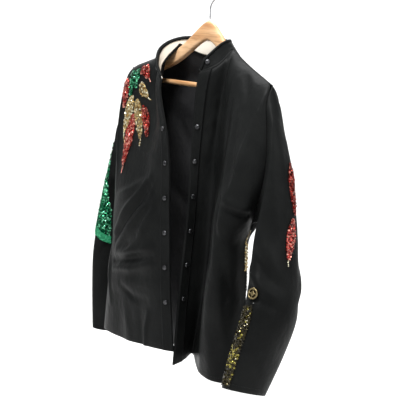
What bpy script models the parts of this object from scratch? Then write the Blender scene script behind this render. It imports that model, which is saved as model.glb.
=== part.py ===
"""A black snap-front jacket with sequin work, hanging open on a wooden hanger.

Metres, +Z up. The wearer's front faces -Y and the wearer's left is +X.
The origin is the inner top of the hanger's hook, where a rail would pass.
"""

import math

import bmesh
import bpy
import numpy as np

# Cloth and seams
CLOTH = 0.0018            # thickness of the shell cloth with its lining
SEAM_PULL = 0.00025       # how far each panel stops short of its seam line
SLEEVE_PULL = 0.0005      # the same at the sleeve heads, where the cloth folds sharply
LAY_GAP = 0.0005          # gap under a layer that lies on a panel
BAND_THICK = 0.0012       # thickness of the snap bands

# Hanger, measured from the top of its wooden arch
HOOK_WIRE = 0.0019        # wire radius
HOOK_BOW = 0.0205         # radius of the bow's centre line
HOOK_FOOT = 0.010         # straight wire above the wood
HOOK_NECK = ((0, 1.50), (0.08, 1.30), (0.28, 1.04))  # out and down from the bow's centre, in bows
HOOK_SWEEP = (-55, 206, 13)  # start, end and step of the bow, in degrees
HOOK_STEPS = 44           # lengths along the wire
HOOK_ROUND = 2            # roundness of the wire's and the bar's sections
BAR_ROUND = 3
ARCH_TOP = -0.075         # height of the arch's top under the rail
ARM_SLOPE = 0.34          # fall of the arms
HUMP = 0.038              # rise of the middle above the arms
HUMP_WIDTH = 0.065
ARM_FORWARD = 0.030       # how far the contoured ends come forward
BAR_DROP = 0.1350
BAR_RADIUS = 0.0056
BAR_REACH = 0.1751        # half length of the trouser bar, between the arms' lobes
FIT = 0.0003              # gap between hard pieces that touch

# Jacket
NECK_HALF = 0.090         # half width of the neck at the shoulder seams
SHOULDER_RIGHT = 0.228    # from the middle to the right shoulder point
SHOULDER_LEFT = 0.242     # the jacket has slid a little to the wearer's left
SHOULDER_REACH = 0.238    # where the hanger's forward bend is measured
SHOULDER_LIFT = 0.0042    # height of the seam over the wood's crest
NECK_LIFT = 0.0030        # the seam's further lift at the neck
SHOULDER_ROLL_OUT = 0.0165  # how far the cloth rolls out over the hanger
SHOULDER_ROLL_DOWN = 0.0090
SHOULDER_END_ROLL = 0.6   # share of the roll left at the shoulder point
EDGE_ROW = 0.012          # how far the last row lies from a neck or armhole edge
EDGE_PUFF = 0.003         # how far that row stands out
CHEST_SHARE = 0.52        # height of the chest row between the underarm and the top
EDGE_SHARE = 0.25         # the most of a column's top stretch that the edge row takes
ARM_LEAN = 0.002          # how far the last row leans to the neck under a shoulder point
PLACKET = 0.028           # width of the snap bands
SNAP_RADIUS = 0.0052
SNAP_HEIGHT = 0.0026
SNAP_PITCH = 0.0720       # distance between snaps along a front edge
FIRST_SNAP = 0.115        # from the neck seam to the first snap on the front
SNAPS = 6                 # on each front, below the collar's own
SNAP_SEAT = 0.0007        # gap between a snap or button and what it sits on
BUTTON_RADIUS = 0.011
BUTTON_HEIGHT = 0.0036
COLLAR_LAYER = 0.0012     # thickness of the collar and of its facing
COLLAR_SEAM = 0.0009      # gap at the neck seam
FACING_IN = 0.0008        # how far the facing's edges lie inside the collar's
PATCH_GAP = 0.0009        # gap under sequin patches, clear of the cloth's ridges
PATCH_THICK = 0.0014

# Grid counts
N_BAND = 1                # columns across a placket
N_NECK = 3                # columns from the placket to the neck point
N_SHOULDER = 6            # columns along a shoulder seam
N_ARM = 8                 # columns round half an armhole
N_BACK_NECK = 8           # columns across the back neck
N_ROWS = 17               # rows from hem to top
N_COLLAR = 3              # rows up the collar
FIELD_ROWS = 9            # points up the green field
STRIP_ROWS = 7            # points down the side strip
LEAF_STEPS = 8            # lengths along a pod or leaf
WOOD_HALVED = 6           # of the hanger's sections that get one more between them
SNAP_SIDES = 12
BUTTON_SIDES = 24
BUTTON_SPOKES = 4

# Where the rows of a panel lie between hem and top
ROW_KNOTS = (0.0, 0.26, 0.50, 0.74, 0.95, 1.0)
# Shares of the hem's width at the neck point and shoulder point, and on the back at the
# shoulder point and neck point
SHARES_RIGHT = (0.36, 0.70)
SHARES_LEFT = (0.27, 0.64)
SHARES_BACK = (0.18, 0.36)
# Columns inside a shoulder seam's ends, and the share of the roll over the hanger there
HOLD_EASE = ((-2, -1, 0, 1), (0.0, 0.18, 0.85, 1.0))
# Columns past the shoulder point, and the share of the lean there
LEAN_EASE = ((-1, 0, 1, 2), (0.0, 0.5, 1.0, 0.0))
UNDERARM_OUT = (0.8, 0.0, -0.6)  # outward direction at the left underarm
SEAM_CALM = 2.5           # columns or rows beside a seam over which folds grow
HEAD_CALM = 2.0           # the same at a sleeve's head
FOLD_ENDS = 0.12          # how far into its end taper a fold starts
LEAF_TIP = 0.12           # width of a leaf's ends, as a share of its middle
LEAF_LEAN = 0.8           # below 1 the widest place is nearer the start
LEAF_CROWN = (0.45, 0.9, 1.0, 0.9, 0.45)  # thickness across a leaf
# Outlines, as shares of the radius and height
SNAP_PROFILE = ((0, 0), (0.96, 0), (1, 0.35), (0.82, 0.75), (0.5, 1), (0, 1))
# Rings of the button: share of its radius and whether it is raised
BUTTON_RINGS = ((0.18, True), (0.34, True), (0.42, False), (0.70, False), (0.78, True),
                (0.94, True), (1.0, False))
BUTTON_WELL = 0.55        # height of the sunken parts

# Sections of the right front, from the snap edge to the side seam: x, y, drop
RIGHT_FRONT = {
    "share": (0.00, 0.10, 0.32, 0.58, 0.84, 1.00),
    "hem": ((0.050, -0.086, 0.681), (0.018, -0.095, 0.684), (-0.055, -0.099, 0.690),
            (-0.145, -0.094, 0.696), (-0.236, -0.070, 0.700), (-0.268, -0.025, 0.706)),
    "waist": ((0.030, -0.088, 0.545), (0.000, -0.097, 0.545), (-0.065, -0.101, 0.547),
              (-0.145, -0.096, 0.550), (-0.224, -0.068, 0.552), (-0.257, -0.025, 0.553)),
    "under": ((0.015, -0.088, 0.400), (-0.012, -0.097, 0.400), (-0.070, -0.102, 0.405),
              (-0.145, -0.094, 0.412), (-0.216, -0.066, 0.426), (-0.250, -0.026, 0.440)),
}
# Sections of the left front: its band swings in to a deep valley, then out to a ridge
LEFT_FRONT = {
    "share": (0.00, 0.14, 0.27, 0.46, 0.68, 0.85, 1.00),
    "hem": ((0.047, -0.084, 0.711), (0.036, -0.044, 0.707), (0.016, -0.012, 0.703),
            (0.060, -0.034, 0.711), (0.110, -0.056, 0.717), (0.160, -0.052, 0.721),
            (0.188, -0.018, 0.723)),
    "waist": ((0.042, -0.074, 0.545), (0.041, -0.040, 0.545), (0.046, -0.012, 0.545),
              (0.092, -0.040, 0.547), (0.155, -0.090, 0.550), (0.196, -0.064, 0.552),
              (0.194, -0.022, 0.554)),
    "under": ((0.050, -0.070, 0.395), (0.053, -0.042, 0.395), (0.066, -0.020, 0.397),
              (0.110, -0.050, 0.402), (0.184, -0.108, 0.410), (0.214, -0.074, 0.424),
              (0.196, -0.028, 0.438)),
}
# Sections of the back, from the right side seam to the left one
BACK = {
    "share": (0.00, 0.16, 0.34, 0.50, 0.66, 0.84, 1.00),
    "hem": ((-0.268, -0.025, 0.706), (-0.205, 0.030, 0.718), (-0.105, 0.046, 0.728),
            (-0.010, 0.041, 0.729), (0.080, 0.046, 0.728), (0.150, 0.016, 0.725),
            (0.188, -0.018, 0.723)),
    "waist": ((-0.257, -0.025, 0.553), (-0.195, 0.026, 0.555), (-0.100, 0.043, 0.556),
              (-0.010, 0.041, 0.557), (0.080, 0.042, 0.556), (0.151, 0.010, 0.555),
              (0.194, -0.022, 0.554)),
    "under": ((-0.250, -0.026, 0.440), (-0.185, 0.024, 0.430), (-0.095, 0.038, 0.424),
              (-0.008, 0.041, 0.424), (0.080, 0.036, 0.424), (0.154, 0.004, 0.430),
              (0.196, -0.028, 0.438)),
}
# Neckline from the right front's end round the back to the left front's end,
# with the collar's upper edge above it: x, y, drop of each. NECK_STEPS are the steps
# from the front neckline to the next row, out, back and up, from the snap edge on
NECK_FRONT_RIGHT = ((-0.050, -0.079, 0.128), (-0.092, -0.056, 0.104))
NECK_FRONT_LEFT = ((0.068, -0.074, 0.106), (0.093, -0.048, 0.090))
NECK_BACK_NEAR = (0.081, 0.018, 0.067)
NECK_BACK_SIDE = (0.053, 0.042, 0.078)
NECK_BACK_MIDDLE = (0.000, 0.056, 0.079)
NECK_STEPS = ((0.000, 0.000, -0.012), (0.001, -0.003, -0.011), (0.003, -0.004, -0.010),
              (0.005, -0.005, -0.009), (0.012, -0.009, -0.008))
COLLAR_TOP = ((-0.076, -0.079, 0.098), (-0.105, -0.048, 0.062), (-0.096, -0.008, 0.042),
              (-0.058, 0.038, 0.037), (-0.010, 0.046, 0.039), (0.030, 0.030, 0.041),
              (0.069, -0.001, 0.038), (0.078, -0.026, 0.043), (0.080, -0.050, 0.060),
              (0.074, -0.065, 0.075))
# How far the chest stands off the straight line between underarm and top: at the
# snap edge, the neck point, on the left the crest of the ridge, the shoulder point
# and the underarm
RIGHT_CHEST = ((0.026, -0.010, 0.0), (0.010, -0.014, 0.0), (-0.002, -0.012, 0.0),
               (0.0, 0.0, 0.0))
LEFT_CHEST = ((-0.008, 0.002, 0.0), (0.006, -0.018, 0.0), (0.014, -0.026, 0.0),
              (0.010, -0.024, 0.0), (0.0, 0.0, 0.0))
BACK_FULLNESS = 0.010
BACK_BOW = 0.12           # share of a sleeve ring's outward bow that its back half has
# Armholes, from the shoulder point to the underarm: x, y, drop
ARMHOLE_FRONT_LEFT = ((0.256, -0.049, 0.200), (0.261, -0.052, 0.280), (0.241, -0.051, 0.352))
ARMHOLE_BACK_LEFT = ((0.242, -0.006, 0.200), (0.234, 0.002, 0.280), (0.219, -0.004, 0.352))
UNDERARM_LEFT = (0.204, -0.030, 0.392)
ARMHOLE_FRONT_RIGHT = ((-0.224, -0.042, 0.200), (-0.234, -0.050, 0.280),
                       (-0.248, -0.048, 0.352))
ARMHOLE_BACK_RIGHT = ((-0.228, -0.004, 0.200), (-0.237, 0.003, 0.280),
                      (-0.248, -0.002, 0.352))
UNDERARM_RIGHT = (-0.250, -0.026, 0.392)

# Sleeve rings: outer x, outer drop, inner x, inner drop, middle y, half depth, lift of
# the front, outward bow of the front and back
SLEEVE_LEFT = (
    (0.253, 0.142, 0.224, 0.389, -0.027, 0.033, 0.000, 0.033),
    (0.272, 0.194, 0.240, 0.395, -0.030, 0.036, 0.000, 0.023),
    (0.289, 0.254, 0.249, 0.409, -0.033, 0.041, 0.000, 0.012),
    (0.305, 0.316, 0.253, 0.432, -0.037, 0.047, 0.000, 0.004),
    (0.318, 0.376, 0.256, 0.460, -0.038, 0.052, 0.001, 0.000),
    (0.328, 0.434, 0.260, 0.494, -0.042, 0.056, 0.003, 0.000),
    (0.339, 0.490, 0.265, 0.528, -0.047, 0.061, 0.005, 0.000),
    (0.350, 0.542, 0.268, 0.568, -0.058, 0.065, 0.009, 0.000),
    (0.342, 0.594, 0.265, 0.610, -0.071, 0.062, 0.011, 0.000),
    (0.330, 0.644, 0.261, 0.653, -0.083, 0.057, 0.013, 0.000),
    (0.318, 0.693, 0.257, 0.697, -0.094, 0.051, 0.014, 0.000),
)
SLEEVE_RIGHT = (
    (-0.236, 0.142, -0.262, 0.389, -0.020, 0.032, 0.000, 0.004),
    (-0.243, 0.196, -0.269, 0.397, -0.018, 0.034, 0.000, 0.004),
    (-0.256, 0.258, -0.274, 0.412, -0.015, 0.038, 0.000, 0.003),
    (-0.273, 0.320, -0.278, 0.435, -0.013, 0.044, 0.000, 0.002),
    (-0.292, 0.380, -0.280, 0.464, -0.012, 0.047, 0.001, 0.000),
    (-0.310, 0.440, -0.281, 0.498, -0.011, 0.051, 0.001, 0.000),
    (-0.325, 0.500, -0.282, 0.537, -0.009, 0.055, 0.002, 0.000),
    (-0.333, 0.558, -0.283, 0.582, -0.008, 0.056, 0.003, 0.000),
    (-0.336, 0.615, -0.284, 0.630, -0.007, 0.054, 0.004, 0.000),
    (-0.336, 0.672, -0.285, 0.681, -0.006, 0.051, 0.005, 0.000),
    (-0.334, 0.728, -0.286, 0.732, -0.006, 0.048, 0.006, 0.000),
)

# Hanger wood: distance from the middle, height and thickness of the body there
WOOD = (
    (0.000, 0.0400, 0.0135), (0.018, 0.0385, 0.0135), (0.036, 0.0350, 0.0140),
    (0.056, 0.0315, 0.0145), (0.080, 0.0300, 0.0155), (0.110, 0.0295, 0.0165),
    (0.145, 0.0290, 0.0175), (0.1755, 0.0285, 0.0185), (0.1757, 0.0450, 0.0186),
    (0.186, 0.0440, 0.0188), (0.198, 0.0340, 0.0170), (0.206, 0.0240, 0.0135),
    (0.211, 0.0140, 0.0090), (0.213, 0.0060, 0.0060),
)

ROLL_FROM = WOOD[-4][0]   # where the roll over the hanger starts to ease
# Corners of the wood's section: share across, share up from the bottom
WOOD_CORNERS = (
    (-0.55, 0.00), (0.55, 0.00), (0.92, 0.06), (1.00, 0.22), (1.00, 0.70), (0.74, 0.92),
    (0.30, 1.00), (-0.30, 1.00), (-0.74, 0.92), (-1.00, 0.70), (-1.00, 0.22), (-0.92, 0.06),
)

# Sequin pods and leaves: name, panel, colour, then start, bend and end of the middle
# line as column and row on that panel, and the half width
PODS = (
    ("leaf_green_1", "right", "green", (8.80, 15.80), (8.55, 15.20), (8.45, 14.30), 0.0075),
    ("leaf_green_2", "right", "green", (8.05, 15.80), (7.88, 15.30), (7.80, 14.60), 0.0065),
    ("pod_red_1", "right", "red", (7.55, 15.80), (6.90, 15.45), (6.15, 14.85), 0.0105),
    ("pod_gold_1", "right", "gold", (7.15, 14.75), (6.60, 14.30), (5.80, 13.95), 0.0080),
    ("pod_red_2", "right", "red", (9.50, 15.30), (9.35, 14.60), (9.40, 13.80), 0.0105),
    ("pod_gold_2", "right", "gold", (8.15, 14.25), (8.55, 13.50), (9.00, 12.60), 0.0105),
    ("pod_red_3", "right", "red", (7.75, 13.40), (8.05, 12.20), (8.65, 10.80), 0.0125),
    ("pod_gold_3", "right", "gold", (7.45, 14.00), (6.85, 13.15), (6.10, 12.10), 0.0115),
    ("pod_red_4", "right", "red", (6.40, 13.60), (5.70, 13.00), (5.05, 12.10), 0.0095),
    ("pod_red_5", "sleeve_left", "red", (15.0, 2.9), (14.7, 3.7), (14.6, 4.5), 0.0100),
    ("pod_red_6", "sleeve_left", "red", (15.1, 4.7), (15.5, 5.35), (15.9, 6.0), 0.0100),
)
# Green field on the right sleeve: rows of its tip and foot, columns of its edges, and
# the share of its height over which it tapers
GREEN_FIELD = (2.3, 6.2, -0.4, 6.6, 0.55)
GREEN_STRIP = 0.35        # height of the plain strip below it, in rows
STRIP_APART = 0.05        # gap between the two, in rows
# Band on the left cuff: rows of its ends and columns of its edges
CUFF_BAND = (7.4, 10.85, 3.3, 5.0)
CUFF_SNAP = (5.6, 10.45)  # column and row
CUFF_BUTTON = (3.45, 6.95)
# Gold strip on the left side seam, in rows and columns of the left front
SIDE_STRIP_ROWS = (9.0, 6.6)
SIDE_STRIP_IN = 0.12
SIDE_STRIP_WIDE = 0.55

# Main folds: panel, then start and end as share across and up, half width and height
FOLDS = (
    ("right", 0.70, 0.62, 0.16, 0.40, 0.030, 0.0055),
    ("right", 0.86, 0.55, 0.34, 0.30, 0.034, 0.0060),
    ("right", 0.90, 0.30, 0.30, 0.22, 0.026, 0.0045),
    ("right", 0.62, 0.94, 0.42, 0.55, 0.032, 0.0050),
    ("right", 0.52, 0.24, 0.56, 0.00, 0.036, 0.0060),
    ("left", 0.44, 0.92, 0.50, 0.56, 0.028, 0.0055),
    ("left", 0.60, 0.94, 0.66, 0.60, 0.034, -0.0055),
    ("left", 0.52, 0.43, 0.92, 0.50, 0.030, -0.0120),
    ("left", 0.62, 0.30, 0.60, 0.00, 0.040, 0.0060),
    ("back", 0.24, 0.86, 0.34, 0.30, 0.040, 0.0070),
    ("back", 0.76, 0.86, 0.68, 0.26, 0.040, 0.0070),
    ("back", 0.50, 0.60, 0.48, 0.00, 0.050, 0.0060),
    ("back", 0.12, 0.44, 0.38, 0.34, 0.032, 0.0050),
    ("back", 0.88, 0.42, 0.62, 0.32, 0.032, 0.0050),
)

COLOURS = {
    "cloth": ((0.012, 0.013, 0.013), 0.60, 0.0),
    "cream": ((0.72, 0.66, 0.56), 0.80, 0.0),
    "snap": ((0.30, 0.31, 0.32), 0.35, 1.0),
    "gold": ((0.62, 0.48, 0.18), 0.30, 0.7),
    "green": ((0.00, 0.32, 0.14), 0.30, 0.5),
    "red": ((0.55, 0.04, 0.03), 0.30, 0.4),
    "wood": ((0.62, 0.36, 0.16), 0.45, 0.0),
    "steel": ((0.62, 0.62, 0.60), 0.25, 1.0),
}


def clear_scene():
    for old in list(bpy.data.objects):
        bpy.data.objects.remove(old)


def material(name):
    found = bpy.data.materials.get(name)
    if found:
        return found
    colour, rough, metal = COLOURS[name]
    made = bpy.data.materials.new(name)
    made.use_nodes = True
    shader = made.node_tree.nodes["Principled BSDF"]
    shader.inputs["Base Color"].default_value = (*colour, 1.0)
    shader.inputs["Roughness"].default_value = rough
    shader.inputs["Metallic"].default_value = metal
    return made


def add_object(name, verts, faces, slot):
    """One closed mesh object with its faces turned outwards."""
    mesh = bpy.data.meshes.new(name)
    mesh.from_pydata([tuple(v) for v in verts], [], faces)
    work = bmesh.new()
    work.from_mesh(mesh)
    bmesh.ops.recalc_face_normals(work, faces=work.faces)
    bmesh.ops.triangulate(work, faces=work.faces, quad_method="FIXED")
    work.to_mesh(mesh)
    work.free()
    return place_mesh(name, mesh, slot)


def place_mesh(name, mesh, slot):
    mesh.materials.append(material(slot))
    mesh.shade_smooth()
    mesh.set_sharp_from_angle(angle=math.radians(40))
    made = bpy.data.objects.new(name, mesh)
    bpy.context.scene.collection.objects.link(made)
    return made


def at_drop(point):
    """A table's x, y, drop as a point in the part's frame."""
    return np.array((point[0], point[1], ARCH_TOP - point[2]))


def through(knots, values, where):
    """Smooth curve through values at knots, read at where."""
    knots = np.asarray(knots, float)
    values = np.asarray(values, float)
    where = np.clip(np.asarray(where, float), knots[0], knots[-1])
    steps = np.diff(knots)
    slopes = np.diff(values, axis=0) / steps[:, None]
    tangents = np.empty_like(values)
    tangents[0] = slopes[0]
    tangents[-1] = slopes[-1]
    weight = (steps[:-1] / (steps[:-1] + steps[1:]))[:, None]
    tangents[1:-1] = slopes[:-1] * (1 - weight) + slopes[1:] * weight
    k = np.clip(np.searchsorted(knots, where, side="right") - 1, 0, len(steps) - 1)
    h = steps[k][:, None]
    u = ((where - knots[k]) / steps[k])[:, None]
    return ((2 * u**3 - 3 * u**2 + 1) * values[k] + (u**3 - 2 * u**2 + u) * h * tangents[k]
            + (-2 * u**3 + 3 * u**2) * values[k + 1] + (u**3 - u**2) * h * tangents[k + 1])


def run_through(points, count):
    """count + 1 points at even steps along a smooth curve through the given points."""
    points = np.asarray(points, float)
    knots = np.concatenate(([0], np.cumsum(np.linalg.norm(np.diff(points, axis=0), axis=1))))
    fine = through(knots, points, np.linspace(0, knots[-1], 40 * count + 1))
    length = np.concatenate(([0], np.cumsum(np.linalg.norm(np.diff(fine, axis=0), axis=1))))
    even = np.linspace(0, length[-1], count + 1)
    return np.stack([np.interp(even, length, fine[:, a]) for a in range(3)], axis=1)


def arm_top(x):
    """Height of the hanger's upper edge."""
    reach = abs(x)
    return ARCH_TOP - ARM_SLOPE * reach - HUMP * (1 - math.exp(-((reach / HUMP_WIDTH) ** 2)))


def arm_y(x):
    """How far forward the contoured hanger is at x."""
    return -ARM_FORWARD * (abs(x) / SHOULDER_REACH) ** 1.5


def shoulder_point(x):
    """A point of a shoulder seam, lying on the hanger and lifted clear of it at the neck."""
    reach = (abs(x) - NECK_HALF) / (SHOULDER_REACH - NECK_HALF)
    lift = SHOULDER_LIFT + NECK_LIFT * max(0.0, 1 - 2 * reach)
    return np.array((x, arm_y(x), arm_top(x) + lift))


def shoulder_end(side):
    return side * (SHOULDER_LEFT if side > 0 else SHOULDER_RIGHT)


def shoulder_seam(side):
    xs = np.linspace(NECK_HALF, abs(shoulder_end(side)), N_SHOULDER + 1)
    return np.array([shoulder_point(side * x) for x in xs])


def armhole(side, towards, middle, underarm):
    """An armhole's front or back half, rolling out over the hanger's end and then down."""
    start = shoulder_point(shoulder_end(side))
    over = start + (0, towards * SHOULDER_END_ROLL * SHOULDER_ROLL_OUT, -SHOULDER_ROLL_DOWN)
    points = [start, over] + [at_drop(p) for p in middle] + [at_drop(underarm)]
    return run_through(points, N_ARM)


def neck_curve(side, front):
    """Front neckline from its end at the snap edge to the neck point."""
    points = [at_drop(front[0]), at_drop(front[1]), shoulder_point(side * NECK_HALF)]
    fine = run_through(points, 200)
    length = np.concatenate(([0], np.cumsum(np.linalg.norm(np.diff(fine, axis=0), axis=1))))
    band = np.linspace(0, PLACKET, N_BAND + 1)
    rest = np.linspace(PLACKET, length[-1], N_NECK + 1)[1:]
    stops = np.concatenate((band, rest))
    return np.stack([np.interp(stops, length, fine[:, a]) for a in range(3)], axis=1)


def back_neck():
    left = [at_drop(NECK_BACK_SIDE), at_drop(NECK_BACK_NEAR), shoulder_point(NECK_HALF)]
    right = [point * (-1, 1, 1) for point in left[::-1]]
    return run_through(right + [at_drop(NECK_BACK_MIDDLE)] + left, N_BACK_NECK)


def section(table, row, shares):
    values = np.array([at_drop(p) for p in table[row]])
    return through(table["share"], values, shares)


def column_shares(table, neck_share, shoulder_share):
    """Where each column of a front starts at the hem, as a share of the panel's width."""
    width = sum(np.linalg.norm(np.subtract(a, b)) for a, b in zip(table["hem"], table["hem"][1:]))
    band = np.linspace(0, PLACKET / width, N_BAND + 1)
    neck = np.linspace(band[-1], neck_share, N_NECK + 1)[1:]
    shoulder = np.linspace(neck_share, shoulder_share, N_SHOULDER + 1)[1:]
    arm = np.linspace(shoulder_share, 1, N_ARM + 1)[1:]
    return np.concatenate((band, neck, shoulder, arm))


def panel_grid(table, shares, top, hold, lean, towards, bulge, sides, neck=0):
    """Points of a body panel, [column][row] from hem to top.

    hold is 1 where the top lies on the hanger and the cloth rolls out over it, and 0
    where the column just runs up to the neck or armhole. sides are the columns that
    are sewn to the next panel, which stay flat. lean takes the last row in towards the
    neck. neck is the side, 1 or -1, of a front's neckline.
    """
    free = np.ones(len(top))
    for column in sides:
        free *= np.clip(np.abs(np.arange(len(top)) - column) / 2.0, 0, 1)
    hem, waist, under = (section(table, row, shares) for row in ("hem", "waist", "under"))
    chest = under + CHEST_SHARE * (top - under) + bulge
    down = chest - top
    down *= np.minimum(EDGE_ROW / np.linalg.norm(down, axis=1), EDGE_SHARE)[:, None]
    if neck:
        down[:len(NECK_STEPS)] = np.array(NECK_STEPS) * (neck, 1, 1)
        hold[:len(NECK_STEPS)] = 0.0
    past = np.clip((np.abs(top[:, 0]) - ROLL_FROM) / (SHOULDER_RIGHT - ROLL_FROM), 0, 1)
    over = np.array((0, towards * SHOULDER_ROLL_OUT, -SHOULDER_ROLL_DOWN))
    over = over * (1 - (1 - SHOULDER_END_ROLL) * past)[:, None]
    hold = hold[:, None]
    puff = np.zeros_like(top)
    puff[:, 0] = -np.sign(top[:, 0]) * lean
    puff[:, 1] = towards * EDGE_PUFF * free
    rolled = top + hold * over + (1 - hold) * down + puff
    grid = []
    for column in zip(hem, waist, under, chest, rolled, top):
        grid.append(through(ROW_KNOTS, column, np.linspace(0, 1, N_ROWS + 1)))
    return np.array(grid)


def held(count, first, last):
    """1 along the shoulder seam, easing to 0 past its two ends."""
    index = np.arange(count)
    inside = np.minimum(index - first, last - index)
    return np.interp(inside, *HOLD_EASE)


def arm_lean(count, shoulder_end):
    """How far the row inside an armhole goes in, most just below the shoulder point."""
    away = np.arange(count) - shoulder_end
    return ARM_LEAN * np.interp(away, *LEAN_EASE)


def seam_mask(grid, seams):
    """0 on the grid's seams and 1 away from them, so that folds leave the seams alone."""
    columns, rows = grid.shape[:2]
    index = np.arange(columns)
    mask = np.ones((columns, rows))
    if "first" in seams:
        mask *= np.clip(index / SEAM_CALM, 0, 1)[:, None]
    if "last" in seams:
        mask *= np.clip((columns - 1 - index) / SEAM_CALM, 0, 1)[:, None]
    if "top" in seams:
        mask *= np.clip((rows - 1 - np.arange(rows)) / SEAM_CALM, 0, 1)
    if "start" in seams:
        mask *= np.clip(np.arange(rows) / HEAD_CALM, 0, 1)
    return mask


def add_folds(name, grid, normals, seams, ring=False):
    """Raises the main folds: soft ridges, or troughs where the height is negative."""
    mask = seam_mask(grid, seams)
    columns = grid.shape[0] if ring else grid.shape[0] - 1
    rows = grid.shape[1] - 1
    base = grid.copy()
    for panel, u0, v0, u1, v1, half, height in FOLDS:
        if panel != name:
            continue
        steps = np.linspace(0, 1, 25)
        line = np.array([point_on(base, columns * (u0 + (u1 - u0) * t),
                                  rows * (v0 + (v1 - v0) * t)) for t in steps])
        gap = np.linalg.norm(base[:, :, None] - line, axis=3)
        nearest = steps[gap.argmin(axis=2)]
        along = np.sin(math.pi * (FOLD_ENDS + (1 - 2 * FOLD_ENDS) * nearest)) ** 0.7
        across = np.exp(-((gap.min(axis=2) / half) ** 2))
        grid += normals * (height * across * along * mask)[..., None]


def point_on(grid, column, row):
    """A point of the faceted grid at a column and row, which may lie between its lines.

    Columns wrap round, which only a sleeve uses.
    """
    count, rows = grid.shape[:2]
    i = math.floor(column)
    j = min(max(math.floor(row), 0), rows - 2)
    s, t = column - i, row - j
    i %= count
    k = (i + 1) % count if s > 0 else i
    low = grid[i, j] * (1 - s) + grid[k, j] * s
    high = grid[i, j + 1] * (1 - s) + grid[k, j + 1] * s
    return low * (1 - t) + high * t


def grid_normals(grid, turned):
    across = np.gradient(grid, axis=0)
    up = np.gradient(grid, axis=1)
    normal = np.cross(across, up)
    normal /= np.linalg.norm(normal, axis=2)[..., None]
    return -normal if turned else normal


def join_normals(pairs):
    """Gives the two edges of each seam one shared direction, so that the walls meet square."""
    for (a, index_a), (b, index_b) in pairs:
        shared = a[index_a] + b[index_b]
        shared /= np.linalg.norm(shared, axis=-1)[..., None]
        a[index_a] = shared
        b[index_b] = shared


def pulled(grid, amount=SEAM_PULL, ring=False):
    """The grid with its edges drawn in square to the seam lines."""
    out = grid.copy()
    sides = [(np.s_[:, 0], np.s_[:, 1]), (np.s_[:, -1], np.s_[:, -2])]
    if not ring:
        sides += [(np.s_[0], np.s_[1]), (np.s_[-1], np.s_[-2])]
    for edge, inside in sides:
        line = grid[edge]
        along = np.roll(line, -1, axis=0) - np.roll(line, 1, axis=0)
        if not ring:
            along[0] = line[1] - line[0]
            along[-1] = line[-1] - line[-2]
        along /= np.linalg.norm(along, axis=1)[:, None]
        step = grid[inside] - line
        step -= along * np.sum(step * along, axis=1)[:, None]
        out[edge] += amount * step / np.linalg.norm(step, axis=1)[:, None]
    return out


def halved(verts, quad):
    """A four-sided face as two triangles that meet on its shorter diagonal."""
    a, b, c, d = quad
    if np.linalg.norm(verts[a] - verts[c]) > np.linalg.norm(verts[b] - verts[d]):
        a, b, c, d = b, c, d, a
    return [(a, b, c), (a, c, d)]


def wall(name, outer, normals, thick, slot, ring=False, lift=0.0):
    """A closed cloth wall between the outer points and the same points moved in."""
    columns, rows = outer.shape[:2]
    top = outer + normals * lift
    low = top - normals * thick
    verts = np.concatenate((top.reshape(-1, 3), low.reshape(-1, 3)))
    half = columns * rows
    faces = []
    last = columns if ring else columns - 1
    for i in range(last):
        k = (i + 1) % columns
        for j in range(rows - 1):
            outside = halved(verts, (i * rows + j, k * rows + j, k * rows + j + 1, i * rows + j + 1))
            faces += outside + [(half + a, half + c, half + b) for a, b, c in outside]
        for j in (0, rows - 1):
            a, b = i * rows + j, k * rows + j
            rim = (a, half + a, half + b, b) if j == 0 else (a, b, half + b, half + a)
            faces += halved(verts, rim)
    if not ring:
        for i in (0, columns - 1):
            for j in range(rows - 1):
                a, b = i * rows + j, i * rows + j + 1
                rim = (a, b, half + b, half + a) if i == 0 else (a, half + a, half + b, b)
                faces += halved(verts, rim)
    return add_object(name, verts, faces, slot)


def sleeve_grid(front_edge, back_edge, rings, side):
    """Points of a sleeve, [around][ring], the armhole first and the cuff last."""
    columns = [np.concatenate((front_edge, back_edge[-2:0:-1]))]
    half_turn = np.linspace(0, math.pi, 13)
    for outer_x, outer_drop, inner_x, inner_drop, middle_y, depth, lift, bow in rings:
        outer = at_drop((outer_x, middle_y, outer_drop))
        inner = at_drop((inner_x, middle_y, inner_drop))
        centre = (outer + inner) / 2
        arm = (outer - inner) / 2
        halves = []
        for towards in (1, -1):
            points = []
            for angle in half_turn:
                forward = towards * math.sin(angle)
                out = side * bow * max(forward, -BACK_BOW * forward) ** 1.3
                shift = (out, -depth * forward, lift * forward)
                points.append(centre + arm * math.cos(angle) + shift)
            halves.append(run_through(points, N_ARM))
        columns.append(np.concatenate((halves[0], halves[1][-2:0:-1])))
    return np.array(columns).transpose(1, 0, 2)


def ring_normals(grid, side):
    around = np.roll(grid, -1, axis=0) - np.roll(grid, 1, axis=0)
    along = np.gradient(grid, axis=1)
    normal = np.cross(around, along)
    normal /= np.linalg.norm(normal, axis=2)[..., None]
    return normal * side


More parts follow.
